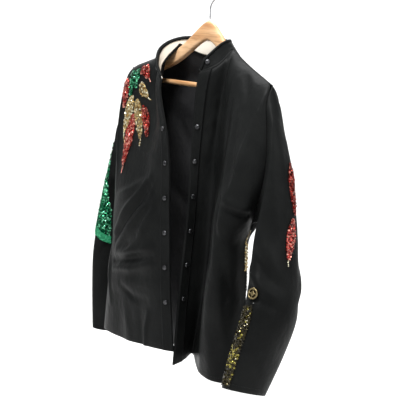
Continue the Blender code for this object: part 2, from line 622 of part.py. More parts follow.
# The panels
class Jacket:
    """Every panel's outer points and directions, worked out once."""

    def __init__(self):
        self.neck_right = neck_curve(-1, NECK_FRONT_RIGHT)
        self.neck_left = neck_curve(1, NECK_FRONT_LEFT)
        self.seam_right = shoulder_seam(-1)
        self.seam_left = shoulder_seam(1)
        self.neck_back = back_neck()
        self.arm_front_right = armhole(-1, -1, ARMHOLE_FRONT_RIGHT, UNDERARM_RIGHT)
        self.arm_back_right = armhole(-1, 1, ARMHOLE_BACK_RIGHT, UNDERARM_RIGHT)
        self.arm_front_left = armhole(1, -1, ARMHOLE_FRONT_LEFT, UNDERARM_LEFT)
        self.arm_back_left = armhole(1, 1, ARMHOLE_BACK_LEFT, UNDERARM_LEFT)
        self.make_fronts()
        self.make_back()
        self.make_sleeves()
        self.make_collar()
        self.find_normals()
        self.fold_panels()
        self.find_normals()

    def make_fronts(self):
        first = N_BAND + N_NECK
        last = first + N_SHOULDER
        top = np.concatenate((self.neck_right, self.seam_right[1:], self.arm_front_right[1:]))
        count = len(top)
        shares = column_shares(RIGHT_FRONT, *SHARES_RIGHT)
        bulge = through((0, first, last, count - 1), RIGHT_CHEST, np.arange(count))
        hold = held(count, first, last)
        lean = arm_lean(count, last)
        self.right = panel_grid(RIGHT_FRONT, shares, top, hold, lean, -1, bulge, (count - 1,), -1)
        top = np.concatenate((self.neck_left, self.seam_left[1:], self.arm_front_left[1:]))
        shares = column_shares(LEFT_FRONT, *SHARES_LEFT)
        bulge = through((0, first, first + 3, last, count - 1), LEFT_CHEST, np.arange(count))
        self.left = panel_grid(LEFT_FRONT, shares, top, hold, lean, -1, bulge, (count - 1,), 1)

    def make_back(self):
        top = np.concatenate((self.arm_back_right[::-1], self.seam_right[::-1][1:],
                              self.neck_back[1:], self.seam_left[1:], self.arm_back_left[1:]))
        arm_share, neck_share = SHARES_BACK
        arm = np.linspace(0, arm_share, N_ARM + 1)
        shoulder = np.linspace(arm_share, neck_share, N_SHOULDER + 1)[1:]
        neck = np.linspace(neck_share, 1 - neck_share, N_BACK_NECK + 1)[1:]
        shares = np.concatenate((arm, shoulder, neck, 1 - shoulder[::-1][1:], 1 - arm[::-1]))
        count = len(top)
        bulge = np.zeros((count, 3))
        bulge[:, 1] = BACK_FULLNESS * (1 - np.linspace(-1, 1, count)**4)
        hold = held(count, N_ARM, N_ARM + N_SHOULDER)
        hold = np.maximum(hold, hold[::-1])
        lean = arm_lean(count, count - 1 - N_ARM)
        lean += lean[::-1]
        self.back = panel_grid(BACK, shares, top, hold, lean, 1, bulge, (0, count - 1))

    def make_sleeves(self):
        self.sleeve_left = sleeve_grid(self.arm_front_left, self.arm_back_left, SLEEVE_LEFT, 1)
        self.sleeve_right = sleeve_grid(self.arm_front_right, self.arm_back_right,
                                        SLEEVE_RIGHT, -1)

    def make_collar(self):
        lower = np.concatenate((self.neck_right, self.neck_back[1:], self.neck_left[::-1][1:]))
        upper_points = np.array([at_drop(p) for p in COLLAR_TOP])
        upper = run_through(upper_points, len(lower) - 1)
        rise = upper - lower
        rise /= np.linalg.norm(rise, axis=1)[:, None]
        start = lower + COLLAR_SEAM * rise
        steps = np.linspace(0, 1, N_COLLAR + 1)[:, None, None]
        self.collar = ((1 - steps) * start + steps * upper).transpose(1, 0, 2)
        self.collar_n = grid_normals(self.collar, True)

    def find_normals(self):
        """Each grid's outward directions, shared where two panels meet."""
        self.right_n = grid_normals(self.right, True)
        self.left_n = grid_normals(self.left, False)
        self.back_n = grid_normals(self.back, True)
        self.sleeve_left_n = ring_normals(self.sleeve_left, 1)
        self.sleeve_right_n = ring_normals(self.sleeve_right, -1)
        first = N_BAND + N_NECK
        last = first + N_SHOULDER
        end = len(self.back) - 1
        fronts = np.s_[last:, -1]
        round_front = np.s_[:N_ARM + 1, 0]
        round_back = np.s_[:N_ARM:-1, 0]
        join_normals((
            ((self.right_n, np.s_[-1]), (self.back_n, np.s_[0])),
            ((self.left_n, np.s_[-1]), (self.back_n, np.s_[-1])),
            ((self.right_n, np.s_[first:last + 1, -1]),
             (self.back_n, np.s_[N_ARM + N_SHOULDER:N_ARM - 1:-1, -1])),
            ((self.left_n, np.s_[first:last + 1, -1]),
             (self.back_n, np.s_[end - N_ARM - N_SHOULDER:end - N_ARM + 1, -1])),
            ((self.right_n, fronts), (self.sleeve_right_n, round_front)),
            ((self.left_n, fronts), (self.sleeve_left_n, round_front)),
            ((self.back_n, np.s_[N_ARM - 1:0:-1, -1]), (self.sleeve_right_n, round_back)),
            ((self.back_n, np.s_[end - N_ARM + 1:end, -1]), (self.sleeve_left_n, round_back)),
        ))
        for side, sleeve_n, front_n, back_n in (
            (-1, self.sleeve_right_n, self.right_n, self.back_n[0]),
            (1, self.sleeve_left_n, self.left_n, self.back_n[-1]),
        ):
            under = np.array(UNDERARM_OUT) * (side, 1, 1)
            sleeve_n[N_ARM, 0] = under
            front_n[-1, -1] = under
            back_n[-1] = under
            shoulder = front_n[last, -1]
            sleeve_n[0, 0] = shoulder
            self.back_n[N_ARM if side < 0 else end - N_ARM, -1] = shoulder

    def fold_panels(self):
        add_folds("right", self.right, self.right_n, ("last", "top"))
        add_folds("left", self.left, self.left_n, ("last", "top"))
        add_folds("back", self.back, self.back_n, ("first", "last", "top"))
        add_folds("sleeve_left", self.sleeve_left, self.sleeve_left_n, ("start",), ring=True)
        add_folds("sleeve_right", self.sleeve_right, self.sleeve_right_n, ("start",), ring=True)


def patch(name, grid, normals, places, gap, thick, slot):
    """A thin piece that lies on a panel: places holds column and row of each point."""
    spots = np.array([[point_on(grid, *place) for place in line] for line in places])
    outward = np.array([[point_on(normals, *place) for place in line] for line in places])
    outward /= np.linalg.norm(outward, axis=2)[..., None]
    thick = np.broadcast_to(thick, spots.shape[:2])[..., None]
    return wall(name, spots + outward * gap, -outward, thick, slot)


def leaf_places(grid, start, bend, end, half_width, points_across):
    """Columns and rows across a leaf shape whose middle line runs through three places."""
    lines = []
    steps = np.linspace(0, 1, LEAF_STEPS + 1)
    middle = through((0, 0.5, 1), np.array((start, bend, end), float), steps)
    run = np.gradient(middle, axis=0)
    for t, (column, row), (du, dv) in zip(steps, middle, run):
        here = point_on(grid, column, row)
        one_column = point_on(grid, column + 0.05, row) - here
        one_row = point_on(grid, column, row + 0.05) - here
        ahead = du * one_column + dv * one_row
        normal = np.cross(one_column, one_row)
        across = np.cross(normal, ahead)
        wide = LEAF_TIP + (1 - LEAF_TIP) * math.sin(math.pi * t**LEAF_LEAN)
        across *= half_width * wide / np.linalg.norm(across)
        axes = np.stack((one_column, one_row), axis=1) / 0.05
        step = np.linalg.lstsq(axes, across, rcond=None)[0]
        lines.append([(column + step[0] * k, row + step[1] * k)
                      for k in np.linspace(-1, 1, points_across)])
    return lines


def turned(name, profile, segments, place, outward, slot):
    """A round piece with its flat base at place, standing along outward."""
    outward = outward / np.linalg.norm(outward)
    side = np.cross(outward, (0.0, 0.0, 1.0))
    side /= np.linalg.norm(side)
    other = np.cross(outward, side)
    verts = [place + outward * profile[0][1]]
    for radius, height in profile[1:-1]:
        for k in range(segments):
            angle = 2 * math.pi * k / segments
            ring = side * math.cos(angle) + other * math.sin(angle)
            verts.append(place + outward * height + ring * radius)
    verts.append(place + outward * profile[-1][1])
    rings = len(profile) - 2
    faces = []
    for k in range(segments):
        m = (k + 1) % segments
        faces.append((0, 1 + k, 1 + m))
        for r in range(rings - 1):
            a = 1 + r * segments
            faces.append((a + k, a + segments + k, a + segments + m, a + m))
        a = 1 + (rings - 1) * segments
        faces.append((a + k, len(verts) - 1, a + m))
    return add_object(name, verts, faces, slot)


def snap(name, grid, normals, column, row, lift):
    outward = point_on(normals, column, row)
    place = point_on(grid, column, row) + outward * lift / np.linalg.norm(outward)
    profile = [(out * SNAP_RADIUS, up * SNAP_HEIGHT) for out, up in SNAP_PROFILE]
    return turned(name, profile, SNAP_SIDES, place, outward, "snap")


def row_at(grid, column, distance):
    """The row that lies a distance down from the top of a column."""
    rows = grid.shape[1] - 1
    line = np.array([point_on(grid, column, row) for row in range(rows + 1)])[::-1]
    length = np.concatenate(([0], np.cumsum(np.linalg.norm(np.diff(line, axis=0), axis=1))))
    return rows - float(np.interp(distance, length, np.arange(rows + 1)))


def add_body(jacket):
    for name, grid, normals in (
        ("front_right", jacket.right, jacket.right_n),
        ("front_left", jacket.left, jacket.left_n),
        ("back", jacket.back, jacket.back_n),
    ):
        wall(name, pulled(grid), normals, CLOTH, "cloth")
    for name, grid, normals in (
        ("sleeve_right", jacket.sleeve_right, jacket.sleeve_right_n),
        ("sleeve_left", jacket.sleeve_left, jacket.sleeve_left_n),
    ):
        wall(name, pulled(grid, SLEEVE_PULL, ring=True), normals, CLOTH, "cloth", ring=True)


def add_collar(jacket):
    wall("collar", jacket.collar, jacket.collar_n, COLLAR_LAYER, "cloth")
    inside = pulled(jacket.collar, FACING_IN) - jacket.collar_n * (COLLAR_LAYER + LAY_GAP)
    wall("collar_facing", inside, jacket.collar_n, COLLAR_LAYER, "cream")


def add_plackets(jacket):
    for side, grid, normals in (
        ("right", jacket.right, jacket.right_n),
        ("left", jacket.left, jacket.left_n),
    ):
        band = pulled(grid)[:N_BAND + 1]
        wall("placket_" + side, band, normals[:N_BAND + 1], BAND_THICK, "cloth",
             lift=LAY_GAP + BAND_THICK)
        lift = LAY_GAP + BAND_THICK + SNAP_SEAT
        middle = N_BAND / 2
        for k in range(SNAPS):
            row = row_at(grid, middle, FIRST_SNAP + k * SNAP_PITCH)
            snap(f"snap_{side}_{k + 1}", grid, normals, middle, row, lift)
    last = len(jacket.collar) - 1
    for side, column in (("right", 0.5), ("left", last - 0.5)):
        snap(f"snap_{side}_collar", jacket.collar, jacket.collar_n, column, N_COLLAR / 2,
             2 * SNAP_SEAT)


def add_motifs(jacket):
    """Sequin pods and leaves, thin patches crowned along their middles."""
    crown = np.array(LEAF_CROWN) * PATCH_THICK
    for name, panel, slot, start, bend, end, half in PODS:
        grid = getattr(jacket, panel)
        normals = getattr(jacket, panel + "_n")
        places = leaf_places(grid, start, bend, end, half, len(crown))
        patch(name, grid, normals, places, PATCH_GAP, crown, slot)


def with_halves(start, end):
    """The two ends and every half column between, so that a patch bends where its panel does."""
    inside = np.arange(math.ceil(2 * start + 0.4), math.floor(2 * end - 0.4) + 1) / 2
    return np.concatenate(((start,), inside, (end,)))


def add_green_field(jacket):
    """The tapered sequin field down the outside of the right sleeve and its plain hem strip."""
    grid, normals = jacket.sleeve_right, jacket.sleeve_right_n
    tip, foot, from_column, to_column, taper = GREEN_FIELD
    middle = (from_column + to_column) / 2
    columns = with_halves(from_column, to_column)
    places = []
    for column in columns:
        away = abs(column - middle) / (to_column - middle)
        places.append([(column, row)
                       for row in np.linspace(foot, tip + taper * (foot - tip) * away, FIELD_ROWS)])
    patch("green_field", grid, normals, places, PATCH_GAP, PATCH_THICK, "green")
    foot += STRIP_APART
    places = [[(column, row) for row in (foot + GREEN_STRIP, foot)] for column in columns]
    patch("green_strip", grid, normals, places, PATCH_GAP, PATCH_THICK, "green")


def add_cuff_band(jacket):
    """The sequin band from the sleeve's button down to its cuff, with the cuff's snap."""
    grid, normals = jacket.sleeve_left, jacket.sleeve_left_n
    from_row, to_row, from_column, to_column = CUFF_BAND
    rows = with_halves(from_row, to_row)[::-1]
    places = [[(column, row) for row in rows] for column in with_halves(from_column, to_column)]
    patch("cuff_band", grid, normals, places, PATCH_GAP, PATCH_THICK, "gold")
    snap("snap_cuff", grid, normals, *CUFF_SNAP, SNAP_SEAT)
    outward = point_on(normals, *CUFF_BUTTON)
    place = point_on(grid, *CUFF_BUTTON) + outward * 1.5 * SNAP_SEAT
    add_button("cuff_button", place, outward)


def add_button(name, place, outward):
    """A round button with a raised rim, a middle boss and four spokes."""
    outward = outward / np.linalg.norm(outward)
    down = np.array((0.0, 0.0, -1.0))
    down -= outward * (down @ outward)
    down /= np.linalg.norm(down)
    side = np.cross(outward, down)
    verts = [place + outward * BUTTON_HEIGHT]
    for share, raised in BUTTON_RINGS:
        for k in range(BUTTON_SIDES):
            angle = 2 * math.pi * k / BUTTON_SIDES
            spoke = k % (BUTTON_SIDES // BUTTON_SPOKES) == 0
            height = BUTTON_HEIGHT * (1.0 if raised or spoke else BUTTON_WELL)
            ring = side * math.cos(angle) + down * math.sin(angle)
            verts.append(place + outward * height + ring * share * BUTTON_RADIUS)
    for k in range(BUTTON_SIDES):
        angle = 2 * math.pi * k / BUTTON_SIDES
        ring = side * math.cos(angle) + down * math.sin(angle)
        verts.append(place + ring * BUTTON_RADIUS)
    verts.append(place)
    faces = []
    for k in range(BUTTON_SIDES):
        m = (k + 1) % BUTTON_SIDES
        faces.append((0, 1 + k, 1 + m))
        for r in range(len(BUTTON_RINGS)):
            a = 1 + r * BUTTON_SIDES
            faces.append((a + k, a + BUTTON_SIDES + k, a + BUTTON_SIDES + m, a + m))
        a = 1 + len(BUTTON_RINGS) * BUTTON_SIDES
        faces.append((a + k, len(verts) - 1, a + m))
    return add_object(name, verts, faces, "gold")


def add_side_strip(jacket):
    """The gold strip down the left side seam, lying on the front panel's edge."""
    last = len(jacket.left) - 1
    top, foot = SIDE_STRIP_ROWS
    places = [[(last - SIDE_STRIP_IN - SIDE_STRIP_WIDE * k, row) for k in (0.0, 0.5, 1.0)]
              for row in np.linspace(top, foot, STRIP_ROWS)]
    patch("side_strip", jacket.left, jacket.left_n, places, PATCH_GAP, PATCH_THICK, "gold")


def add_hanger():
    sections = []
    table = np.array(WOOD)
    between = (table[1:-1, 0] + table[2:, 0])[:WOOD_HALVED] / 2
    reaches = np.sort(np.concatenate((table[:, 0], between)))
    for x in np.concatenate((-reaches[:0:-1], reaches)):
        height = np.interp(abs(x), table[:, 0], table[:, 1])
        thick = np.interp(abs(x), table[:, 0], table[:, 2])
        sections.append((x, height, thick))
    verts = []
    corners = WOOD_CORNERS
    for x, height, thick in sections:
        top = arm_top(x)
        for across, up in corners:
            verts.append((x, arm_y(x) + across * thick / 2, top - height * (1 - up)))
    count = len(corners)
    faces = [tuple(range(count)), tuple(range(len(verts) - count, len(verts)))]
    for i in range(len(sections) - 1):
        for k in range(count):
            m = (k + 1) % count
            a = i * count
            faces.append((a + k, a + m, a + count + m, a + count + k))
    add_object("hanger_wood", verts, faces, "wood")
    add_tube("hanger_bar", [(-BAR_REACH, arm_y(BAR_REACH), ARCH_TOP - BAR_DROP),
                            (BAR_REACH, arm_y(BAR_REACH), ARCH_TOP - BAR_DROP)],
             BAR_RADIUS, BAR_ROUND, "wood")
    centre = HOOK_WIRE - HOOK_BOW
    stem = [(0, 0, ARCH_TOP + FIT), (0, 0, ARCH_TOP + HOOK_FOOT)]
    stem += [(out * HOOK_BOW, 0, centre - down * HOOK_BOW) for out, down in HOOK_NECK]
    bow = [(HOOK_BOW * math.cos(a), 0, centre + HOOK_BOW * math.sin(a))
           for a in np.radians(np.arange(*HOOK_SWEEP))]
    add_tube("hanger_hook", run_through(stem + bow, HOOK_STEPS), HOOK_WIRE, HOOK_ROUND, "steel")


def add_tube(name, points, radius, sides, slot):
    curve = bpy.data.curves.new(name, "CURVE")
    curve.dimensions = "3D"
    curve.bevel_depth = radius
    curve.bevel_resolution = sides
    curve.use_fill_caps = True
    line = curve.splines.new("POLY")
    line.points.add(len(points) - 1)
    for place, point in zip(line.points, points):
        place.co = (*point, 1.0)
    curve.materials.append(material(slot))
    made = bpy.data.objects.new(name, curve)
    bpy.context.scene.collection.objects.link(made)
    return made


def build():
    clear_scene()
    jacket = Jacket()
    add_body(jacket)
    add_collar(jacket)
    add_plackets(jacket)
    add_motifs(jacket)
    add_green_field(jacket)
    add_cuff_band(jacket)
    add_side_strip(jacket)
    add_hanger()


build()
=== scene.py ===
"""Sequin jacket on a wooden hanger: cloth, sequins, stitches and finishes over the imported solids."""
import math

import bmesh
import bpy
import numpy as np
from mathutils import Matrix, Vector, kdtree, noise


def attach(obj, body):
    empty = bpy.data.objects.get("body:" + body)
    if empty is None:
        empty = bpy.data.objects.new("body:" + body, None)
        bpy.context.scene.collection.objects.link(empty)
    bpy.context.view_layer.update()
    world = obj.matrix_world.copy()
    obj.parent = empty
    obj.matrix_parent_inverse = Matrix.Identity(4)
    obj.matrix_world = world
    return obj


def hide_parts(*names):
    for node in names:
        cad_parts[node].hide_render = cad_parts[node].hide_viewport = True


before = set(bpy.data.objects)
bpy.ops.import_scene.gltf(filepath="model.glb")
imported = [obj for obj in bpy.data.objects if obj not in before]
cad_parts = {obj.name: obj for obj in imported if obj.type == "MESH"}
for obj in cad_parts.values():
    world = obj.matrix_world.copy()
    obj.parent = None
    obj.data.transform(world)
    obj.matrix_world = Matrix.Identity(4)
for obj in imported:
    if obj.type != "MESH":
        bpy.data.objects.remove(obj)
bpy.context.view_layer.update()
rng = np.random.default_rng(7)
BODY = "root"

# Camera, in degrees and metres, its lens in millimetres, fitted to the photograph's 400 x 400 frame
CAMERA_TURN, CAMERA_PITCH, CAMERA_ROLL = 52.0, -8.9, 3.2
CAMERA_DISTANCE, CAMERA_HEIGHT = 2.40, -0.075
CAMERA_LENS, CAMERA_SENSOR = 104.0, 36.0
FLOOR_HEIGHT = -1.02

# Cloth meshes
OUTER, INNER, RIM, FOUND, LEFT = range(5)  # marks on faces; the last two only while they are sorted
WELD = 1e-5
TINY = 1e-12
RIM_WIDTH = 0.0025          # faces with an edge shorter than this are a panel's cut edge
CORNER = math.radians(50)
JOIN_FACES, JOIN_SHAPES = math.radians(40), math.radians(55)  # how triangles are paired into quads
NORMAL_PASSES = 4           # times that the outer normals are smoothed
BODY_MIDDLE = -0.012        # y of the body's middle
SLEEVE_SLICES = 13          # slices that a sleeve's middle line is taken from
HEM_TOP, CUFF_TOP = -0.735, -0.68  # below these heights an edge hangs free

# Folds
SEAM_CALM = (0.003, 0.026)  # folds start at the first distance from a seam, full at the second
BAND_CALM = (0.006, 0.034)  # the same from the snap bands
FOLD_STEPS = 61             # points along a crease
FOLD_PASSES = 6             # times that its line is smoothed
FOLD_ENDS = 0.35            # share of its rise left at its ends
FOLD_TIP = 0.02             # share of its length at either end that doesn't taper
WOBBLE, WOBBLE_SCALE = 0.002, 26          # how far a crease's sides wander, and how quickly
UNEVEN, UNEVEN_SCALE = 0.0010, (20, 20, 12)  # rise of the unevenness between creases, and how quickly
UNEVEN_SHIFT = 5

# Soft folds, given as points that the crease runs through, half width, rise (a trough is negative)
FOLDS = {
    "front_right": (
        (((-.050, -.096, -.407), (-.117, -.102, -.477), (-.174, -.094, -.544)), .009, .0075),
        (((-.042, -.099, -.444), (-.092, -.107, -.507), (-.157, -.099, -.572)), .008, .0065),
        (((-.046, -.099, -.424), (-.104, -.104, -.492), (-.166, -.096, -.558)), .006, -.0055),
        (((-.027, -.100, -.479), (-.068, -.106, -.541), (-.138, -.101, -.603)), .009, .0045),
        (((-.067, -.094, -.414), (-.121, -.096, -.443), (-.172, -.092, -.464)), .008, .0055),
        (((-.162, -.097, -.586), (-.079, -.105, -.565), (-.025, -.101, -.548)), .008, .0070),
        (((-.165, -.097, -.605), (-.084, -.104, -.586), (-.025, -.100, -.566)), .007, -.0060),
        (((-.167, -.097, -.623), (-.089, -.103, -.606), (-.025, -.100, -.586)), .008, .0065),
        (((-.163, -.098, -.660), (-.077, -.102, -.639), (-.020, -.098, -.624)), .014, .0030),
        (((-.120, -.100, -.690), (-.100, -.100, -.740), (-.090, -.100, -.790)), .016, .0030),
        (((-.060, -.098, -.680), (-.050, -.098, -.740), (-.045, -.098, -.790)), .013, -.0030),
        (((-.020, -.098, -.425), (-.045, -.100, -.452), (-.075, -.100, -.468)), .006, -.0040),
        (((-.018, -.098, -.455), (-.045, -.100, -.492), (-.070, -.100, -.525)), .006, .0045),
        (((-.150, -.085, -.325), (-.110, -.095, -.348), (-.060, -.097, -.362)), .009, .0035),
        (((-.030, -.098, -.690), (-.036, -.098, -.735), (-.034, -.098, -.785)), .007, .0050),
        (((-.205, -.085, -.590), (-.190, -.090, -.640), (-.178, -.092, -.700)), .009, .0045),
        (((-.130, -.098, -.650), (-.085, -.100, -.668), (-.040, -.098, -.664)), .008, -.0035),
    ),
    "front_left": (
        (((.148, -.044, -.189), (.140, -.051, -.267), (.145, -.059, -.345)), .009, .0045),
        (((.165, -.055, -.218), (.173, -.073, -.322), (.200, -.103, -.414)), .014, .0035),
        (((.163, -.032, -.172), (.195, -.054, -.204), (.206, -.063, -.236)), .010, -.0045),
        (((.219, -.063, -.240), (.229, -.089, -.334), (.247, -.075, -.389)), .016, .0035),
        (((.190, -.060, -.250), (.200, -.085, -.330), (.215, -.095, -.400)), .010, -.0030),
        (((.205, -.104, -.430), (.231, -.082, -.442), (.250, -.068, -.445)), .007, -.0055),
        (((.205, -.104, -.412), (.231, -.084, -.424), (.250, -.070, -.427)), .009, .0040),
        (((.170, -.092, -.390), (.181, -.101, -.440), (.185, -.100, -.491)), .006, -.0045),
        (((.196, -.084, -.561), (.199, -.063, -.614), (.190, -.062, -.663)), .012, -.0050),
        (((.175, -.095, -.500), (.185, -.090, -.580), (.180, -.070, -.680)), .012, .0035),
        (((.150, -.070, -.700), (.145, -.060, -.750), (.140, -.055, -.790)), .014, .0035),
        (((.080, -.040, -.230), (.070, -.040, -.300), (.062, -.050, -.360)), .009, .0030),
    ),
    "back": (
        (((-.150, .050, -.240), (-.100, .060, -.330), (-.060, .060, -.420)), .016, .0045),
        (((.150, .040, -.240), (.110, .050, -.330), (.070, .055, -.420)), .016, .0045),
        (((-.190, .040, -.430), (-.110, .055, -.470), (-.030, .060, -.480)), .012, .0040),
        (((.190, .030, -.440), (.110, .050, -.480), (.040, .055, -.490)), .012, .0040),
        (((-.180, .040, -.560), (-.100, .055, -.585), (-.020, .060, -.590)), .010, -.0040),
        (((.170, .030, -.570), (.100, .045, -.590), (.030, .055, -.600)), .010, -.0040),
        (((-.120, .055, -.620), (-.130, .055, -.700), (-.135, .055, -.790)), .018, .0050),
        (((-.030, .060, -.600), (-.020, .060, -.700), (-.015, .060, -.790)), .020, -.0040),
        (((.060, .055, -.620), (.070, .055, -.700), (.075, .050, -.790)), .018, .0050),
        (((.140, .040, -.640), (.150, .035, -.720), (.155, .030, -.790)), .016, -.0040),
    ),
    "sleeve_left": (
        (((.262, -.046, -.236), (.285, -.039, -.309), (.307, -.036, -.400)), .014, .0025),
        (((.301, -.084, -.474), (.321, -.074, -.513), (.334, -.053, -.546)), .012, .0045),
        (((.280, -.091, -.531), (.322, -.094, -.564), (.341, -.065, -.582)), .010, .0050),
        (((.290, -.090, -.500), (.322, -.086, -.538), (.338, -.060, -.562)), .008, -.0045),
        (((.290, -.095, -.552), (.324, -.100, -.585), (.345, -.070, -.602)), .008, -.0040),
        (((.333, -.109, -.617), (.341, -.083, -.664), (.338, -.060, -.690)), .010, .0030),
        (((.310, -.115, -.650), (.330, -.105, -.700), (.329, -.087, -.740)), .010, -.0030),
        (((.280, .010, -.300), (.300, .010, -.380), (.310, .005, -.450)), .014, .0030),
        (((.290, .000, -.520), (.310, .005, -.560), (.325, .001, -.596)), .010, .0040),
        (((.285, -.010, -.560), (.305, -.010, -.590), (.320, -.015, -.610)), .009, -.0035),
    ),
    "sleeve_right": (
        (((-.242, -.047, -.284), (-.256, -.030, -.330), (-.260, -.015, -.354)), .006, .0035),
        (((-.248, -.050, -.303), (-.258, -.040, -.340), (-.264, -.020, -.368)), .005, -.0030),
        (((-.246, -.052, -.397), (-.262, -.050, -.440), (-.279, -.047, -.493)), .009, .0025),
        (((-.300, -.040, -.560), (-.290, -.052, -.580), (-.275, -.045, -.590)), .010, .0035),
        (((-.305, -.035, -.600), (-.293, -.050, -.615), (-.275, -.045, -.620)), .008, -.0030),
        (((-.290, .020, -.420), (-.285, .022, -.480), (-.290, .020, -.540)), .012, .0025),
        (((-.310, -.020, -.680), (-.305, -.025, -.720), (-.300, -.030, -.770)), .010, .0025),
    ),
}


def smooth_step(values, low, high):
    """0 below low, 1 above high and a soft ramp between."""
    t = np.clip((values - low) / (high - low), 0.0, 1.0)
    return t * t * (3 - 2 * t)


def points_of(mesh):
    """A mesh's points as rows of x, y, z."""
    flat = np.zeros(len(mesh.vertices) * 3, np.float32)
    mesh.vertices.foreach_get("co", flat)
    return flat.reshape(-1, 3).astype(float)


def set_points(mesh, points):
    """Writes rows of x, y, z back into a mesh."""
    mesh.vertices.foreach_set("co", points.astype(np.float32).ravel())
    mesh.update()


def unit(vectors):
    """Rows scaled to length 1."""
    return vectors / np.maximum(np.linalg.norm(vectors, axis=1), TINY)[:, None]


def along_line(line, steps, wanted):
    """Points on a line at the wanted values of its points' steps."""
    return np.stack([np.interp(wanted, steps, line[:, k]) for k in range(3)], axis=1)


def tree_of(points):
    """A tree for finding the nearest of some points."""
    tree = kdtree.KDTree(len(points))
    for i, point in enumerate(points):
        tree.insert(point, i)
    tree.balance()
    return tree


def nearest(tree, points):
    """Index of the tree's point nearest each of points, and how far it is."""
    found = [tree.find(p)[1:] for p in points]
    return np.array([f[0] for f in found], int), np.array([f[1] for f in found], float)


def new_piece(name, mesh, material, nodes=()):
    """Adds a mesh to the scene as a piece of the object that stands for some nodes."""
    piece = bpy.data.objects.new(name, mesh)
    bpy.context.scene.collection.objects.link(piece)
    mesh.materials.clear()
    mesh.materials.append(material)
    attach(piece, BODY)
    if nodes:
        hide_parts(*nodes)
    return piece


def joined_mesh(name, points, faces, smooth=True):
    """A mesh from one array of points and a list of faces."""
    mesh = bpy.data.meshes.new(name)
    mesh.from_pydata([tuple(p) for p in points], [], faces)
    if smooth:
        mesh.shade_smooth()
    else:
        mesh.shade_flat()
    mesh.update()
    return mesh


# Cloth


def layers(bm, middle_of):
    """Marks the layer that faces away from the middle, the inner layer and the rims."""
    for face in bm.faces:
        narrow = min(e.calc_length() for e in face.edges) < RIM_WIDTH
        face.material_index = RIM if narrow else LEFT
    groups = []
    for start in bm.faces:
        if start.material_index != LEFT:
            continue
        start.material_index = FOUND
        group, waiting = [start], [start]
        while waiting:
            for edge in waiting.pop().edges:
                for face in edge.link_faces:
                    if face.material_index == LEFT:
                        face.material_index = FOUND
                        group.append(face)
                        waiting.append(face)
        groups.append(group)
    groups.sort(key=lambda g: -sum(f.calc_area() for f in g))

    def outwardness(group):
        centres = [f.calc_center_median() for f in group]
        return sum(f.calc_area() * f.normal.dot(c - middle_of(c)) for f, c in zip(group, centres))

    inner, outer = sorted(groups[:2], key=outwardness)
    for group in groups:
        mark = INNER if group is inner else (OUTER if group is outer else RIM)
        for face in group:
            face.material_index = mark


def dressed_mesh(node, levels, middle_of=None):
    """A node's mesh in quads with sharp corners, subdivided; with a middle, its faces are marked."""
    bm = bmesh.new()
    bm.from_mesh(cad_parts[node].data)
    bmesh.ops.remove_doubles(bm, verts=bm.verts, dist=WELD)
    bm.normal_update()
    if middle_of:
        layers(bm, middle_of)
    bmesh.ops.join_triangles(bm, faces=bm.faces, cmp_materials=True,
                             angle_face_threshold=JOIN_FACES, angle_shape_threshold=JOIN_SHAPES)
    crease = bm.edges.layers.float.new("crease_edge")
    for edge in bm.edges:
        faces = edge.link_faces
        if len(faces) == 2:
            rim = middle_of is None or any(f.material_index == RIM for f in faces)
            apart = faces[0].material_index != faces[1].material_index
            if apart or (rim and edge.calc_face_angle() > CORNER):
                edge[crease] = 1.0
    mesh = bpy.data.meshes.new(node)
    bm.to_mesh(mesh)
    bm.free()
    holder = bpy.data.objects.new("holder", mesh)
    bpy.context.scene.collection.objects.link(holder)
    fine = holder.modifiers.new("fine", "SUBSURF")
    fine.levels = fine.render_levels = levels
    bpy.context.view_layer.update()
    evaluated = holder.evaluated_get(bpy.context.evaluated_depsgraph_get())
    made = bpy.data.meshes.new_from_object(evaluated)
    bpy.data.objects.remove(holder)
    made.shade_smooth()
    return made


def outer_layer(mesh):
    """Outer points' indices and smoothed normals, and all points."""
    points = points_of(mesh)
    normals = np.zeros_like(points)
    corners = [p.vertices[:] for p in mesh.polygons if p.material_index == OUTER]
    for size in (3, 4):
        faces = np.array([c for c in corners if len(c) == size], int)
        if len(faces):
            across = np.cross(points[faces[:, 2]] - points[faces[:, 0]],
                              points[faces[:, -1]] - points[faces[:, 1]])
            for k in range(size):
                np.add.at(normals, faces[:, k], across)
    outer = np.unique(np.concatenate(corners))
    edges = np.zeros(len(mesh.edges) * 2, int)
    mesh.edges.foreach_get("vertices", edges)
    edges = edges.reshape(-1, 2)
    edges = edges[np.isin(edges, outer).all(axis=1)]
    for _ in range(NORMAL_PASSES):
        normals = unit(normals)
        spread = normals.copy()
        np.add.at(spread, edges[:, 0], normals[edges[:, 1]])
        np.add.at(spread, edges[:, 1], normals[edges[:, 0]])
        normals = spread
    return outer, unit(normals)[outer], points


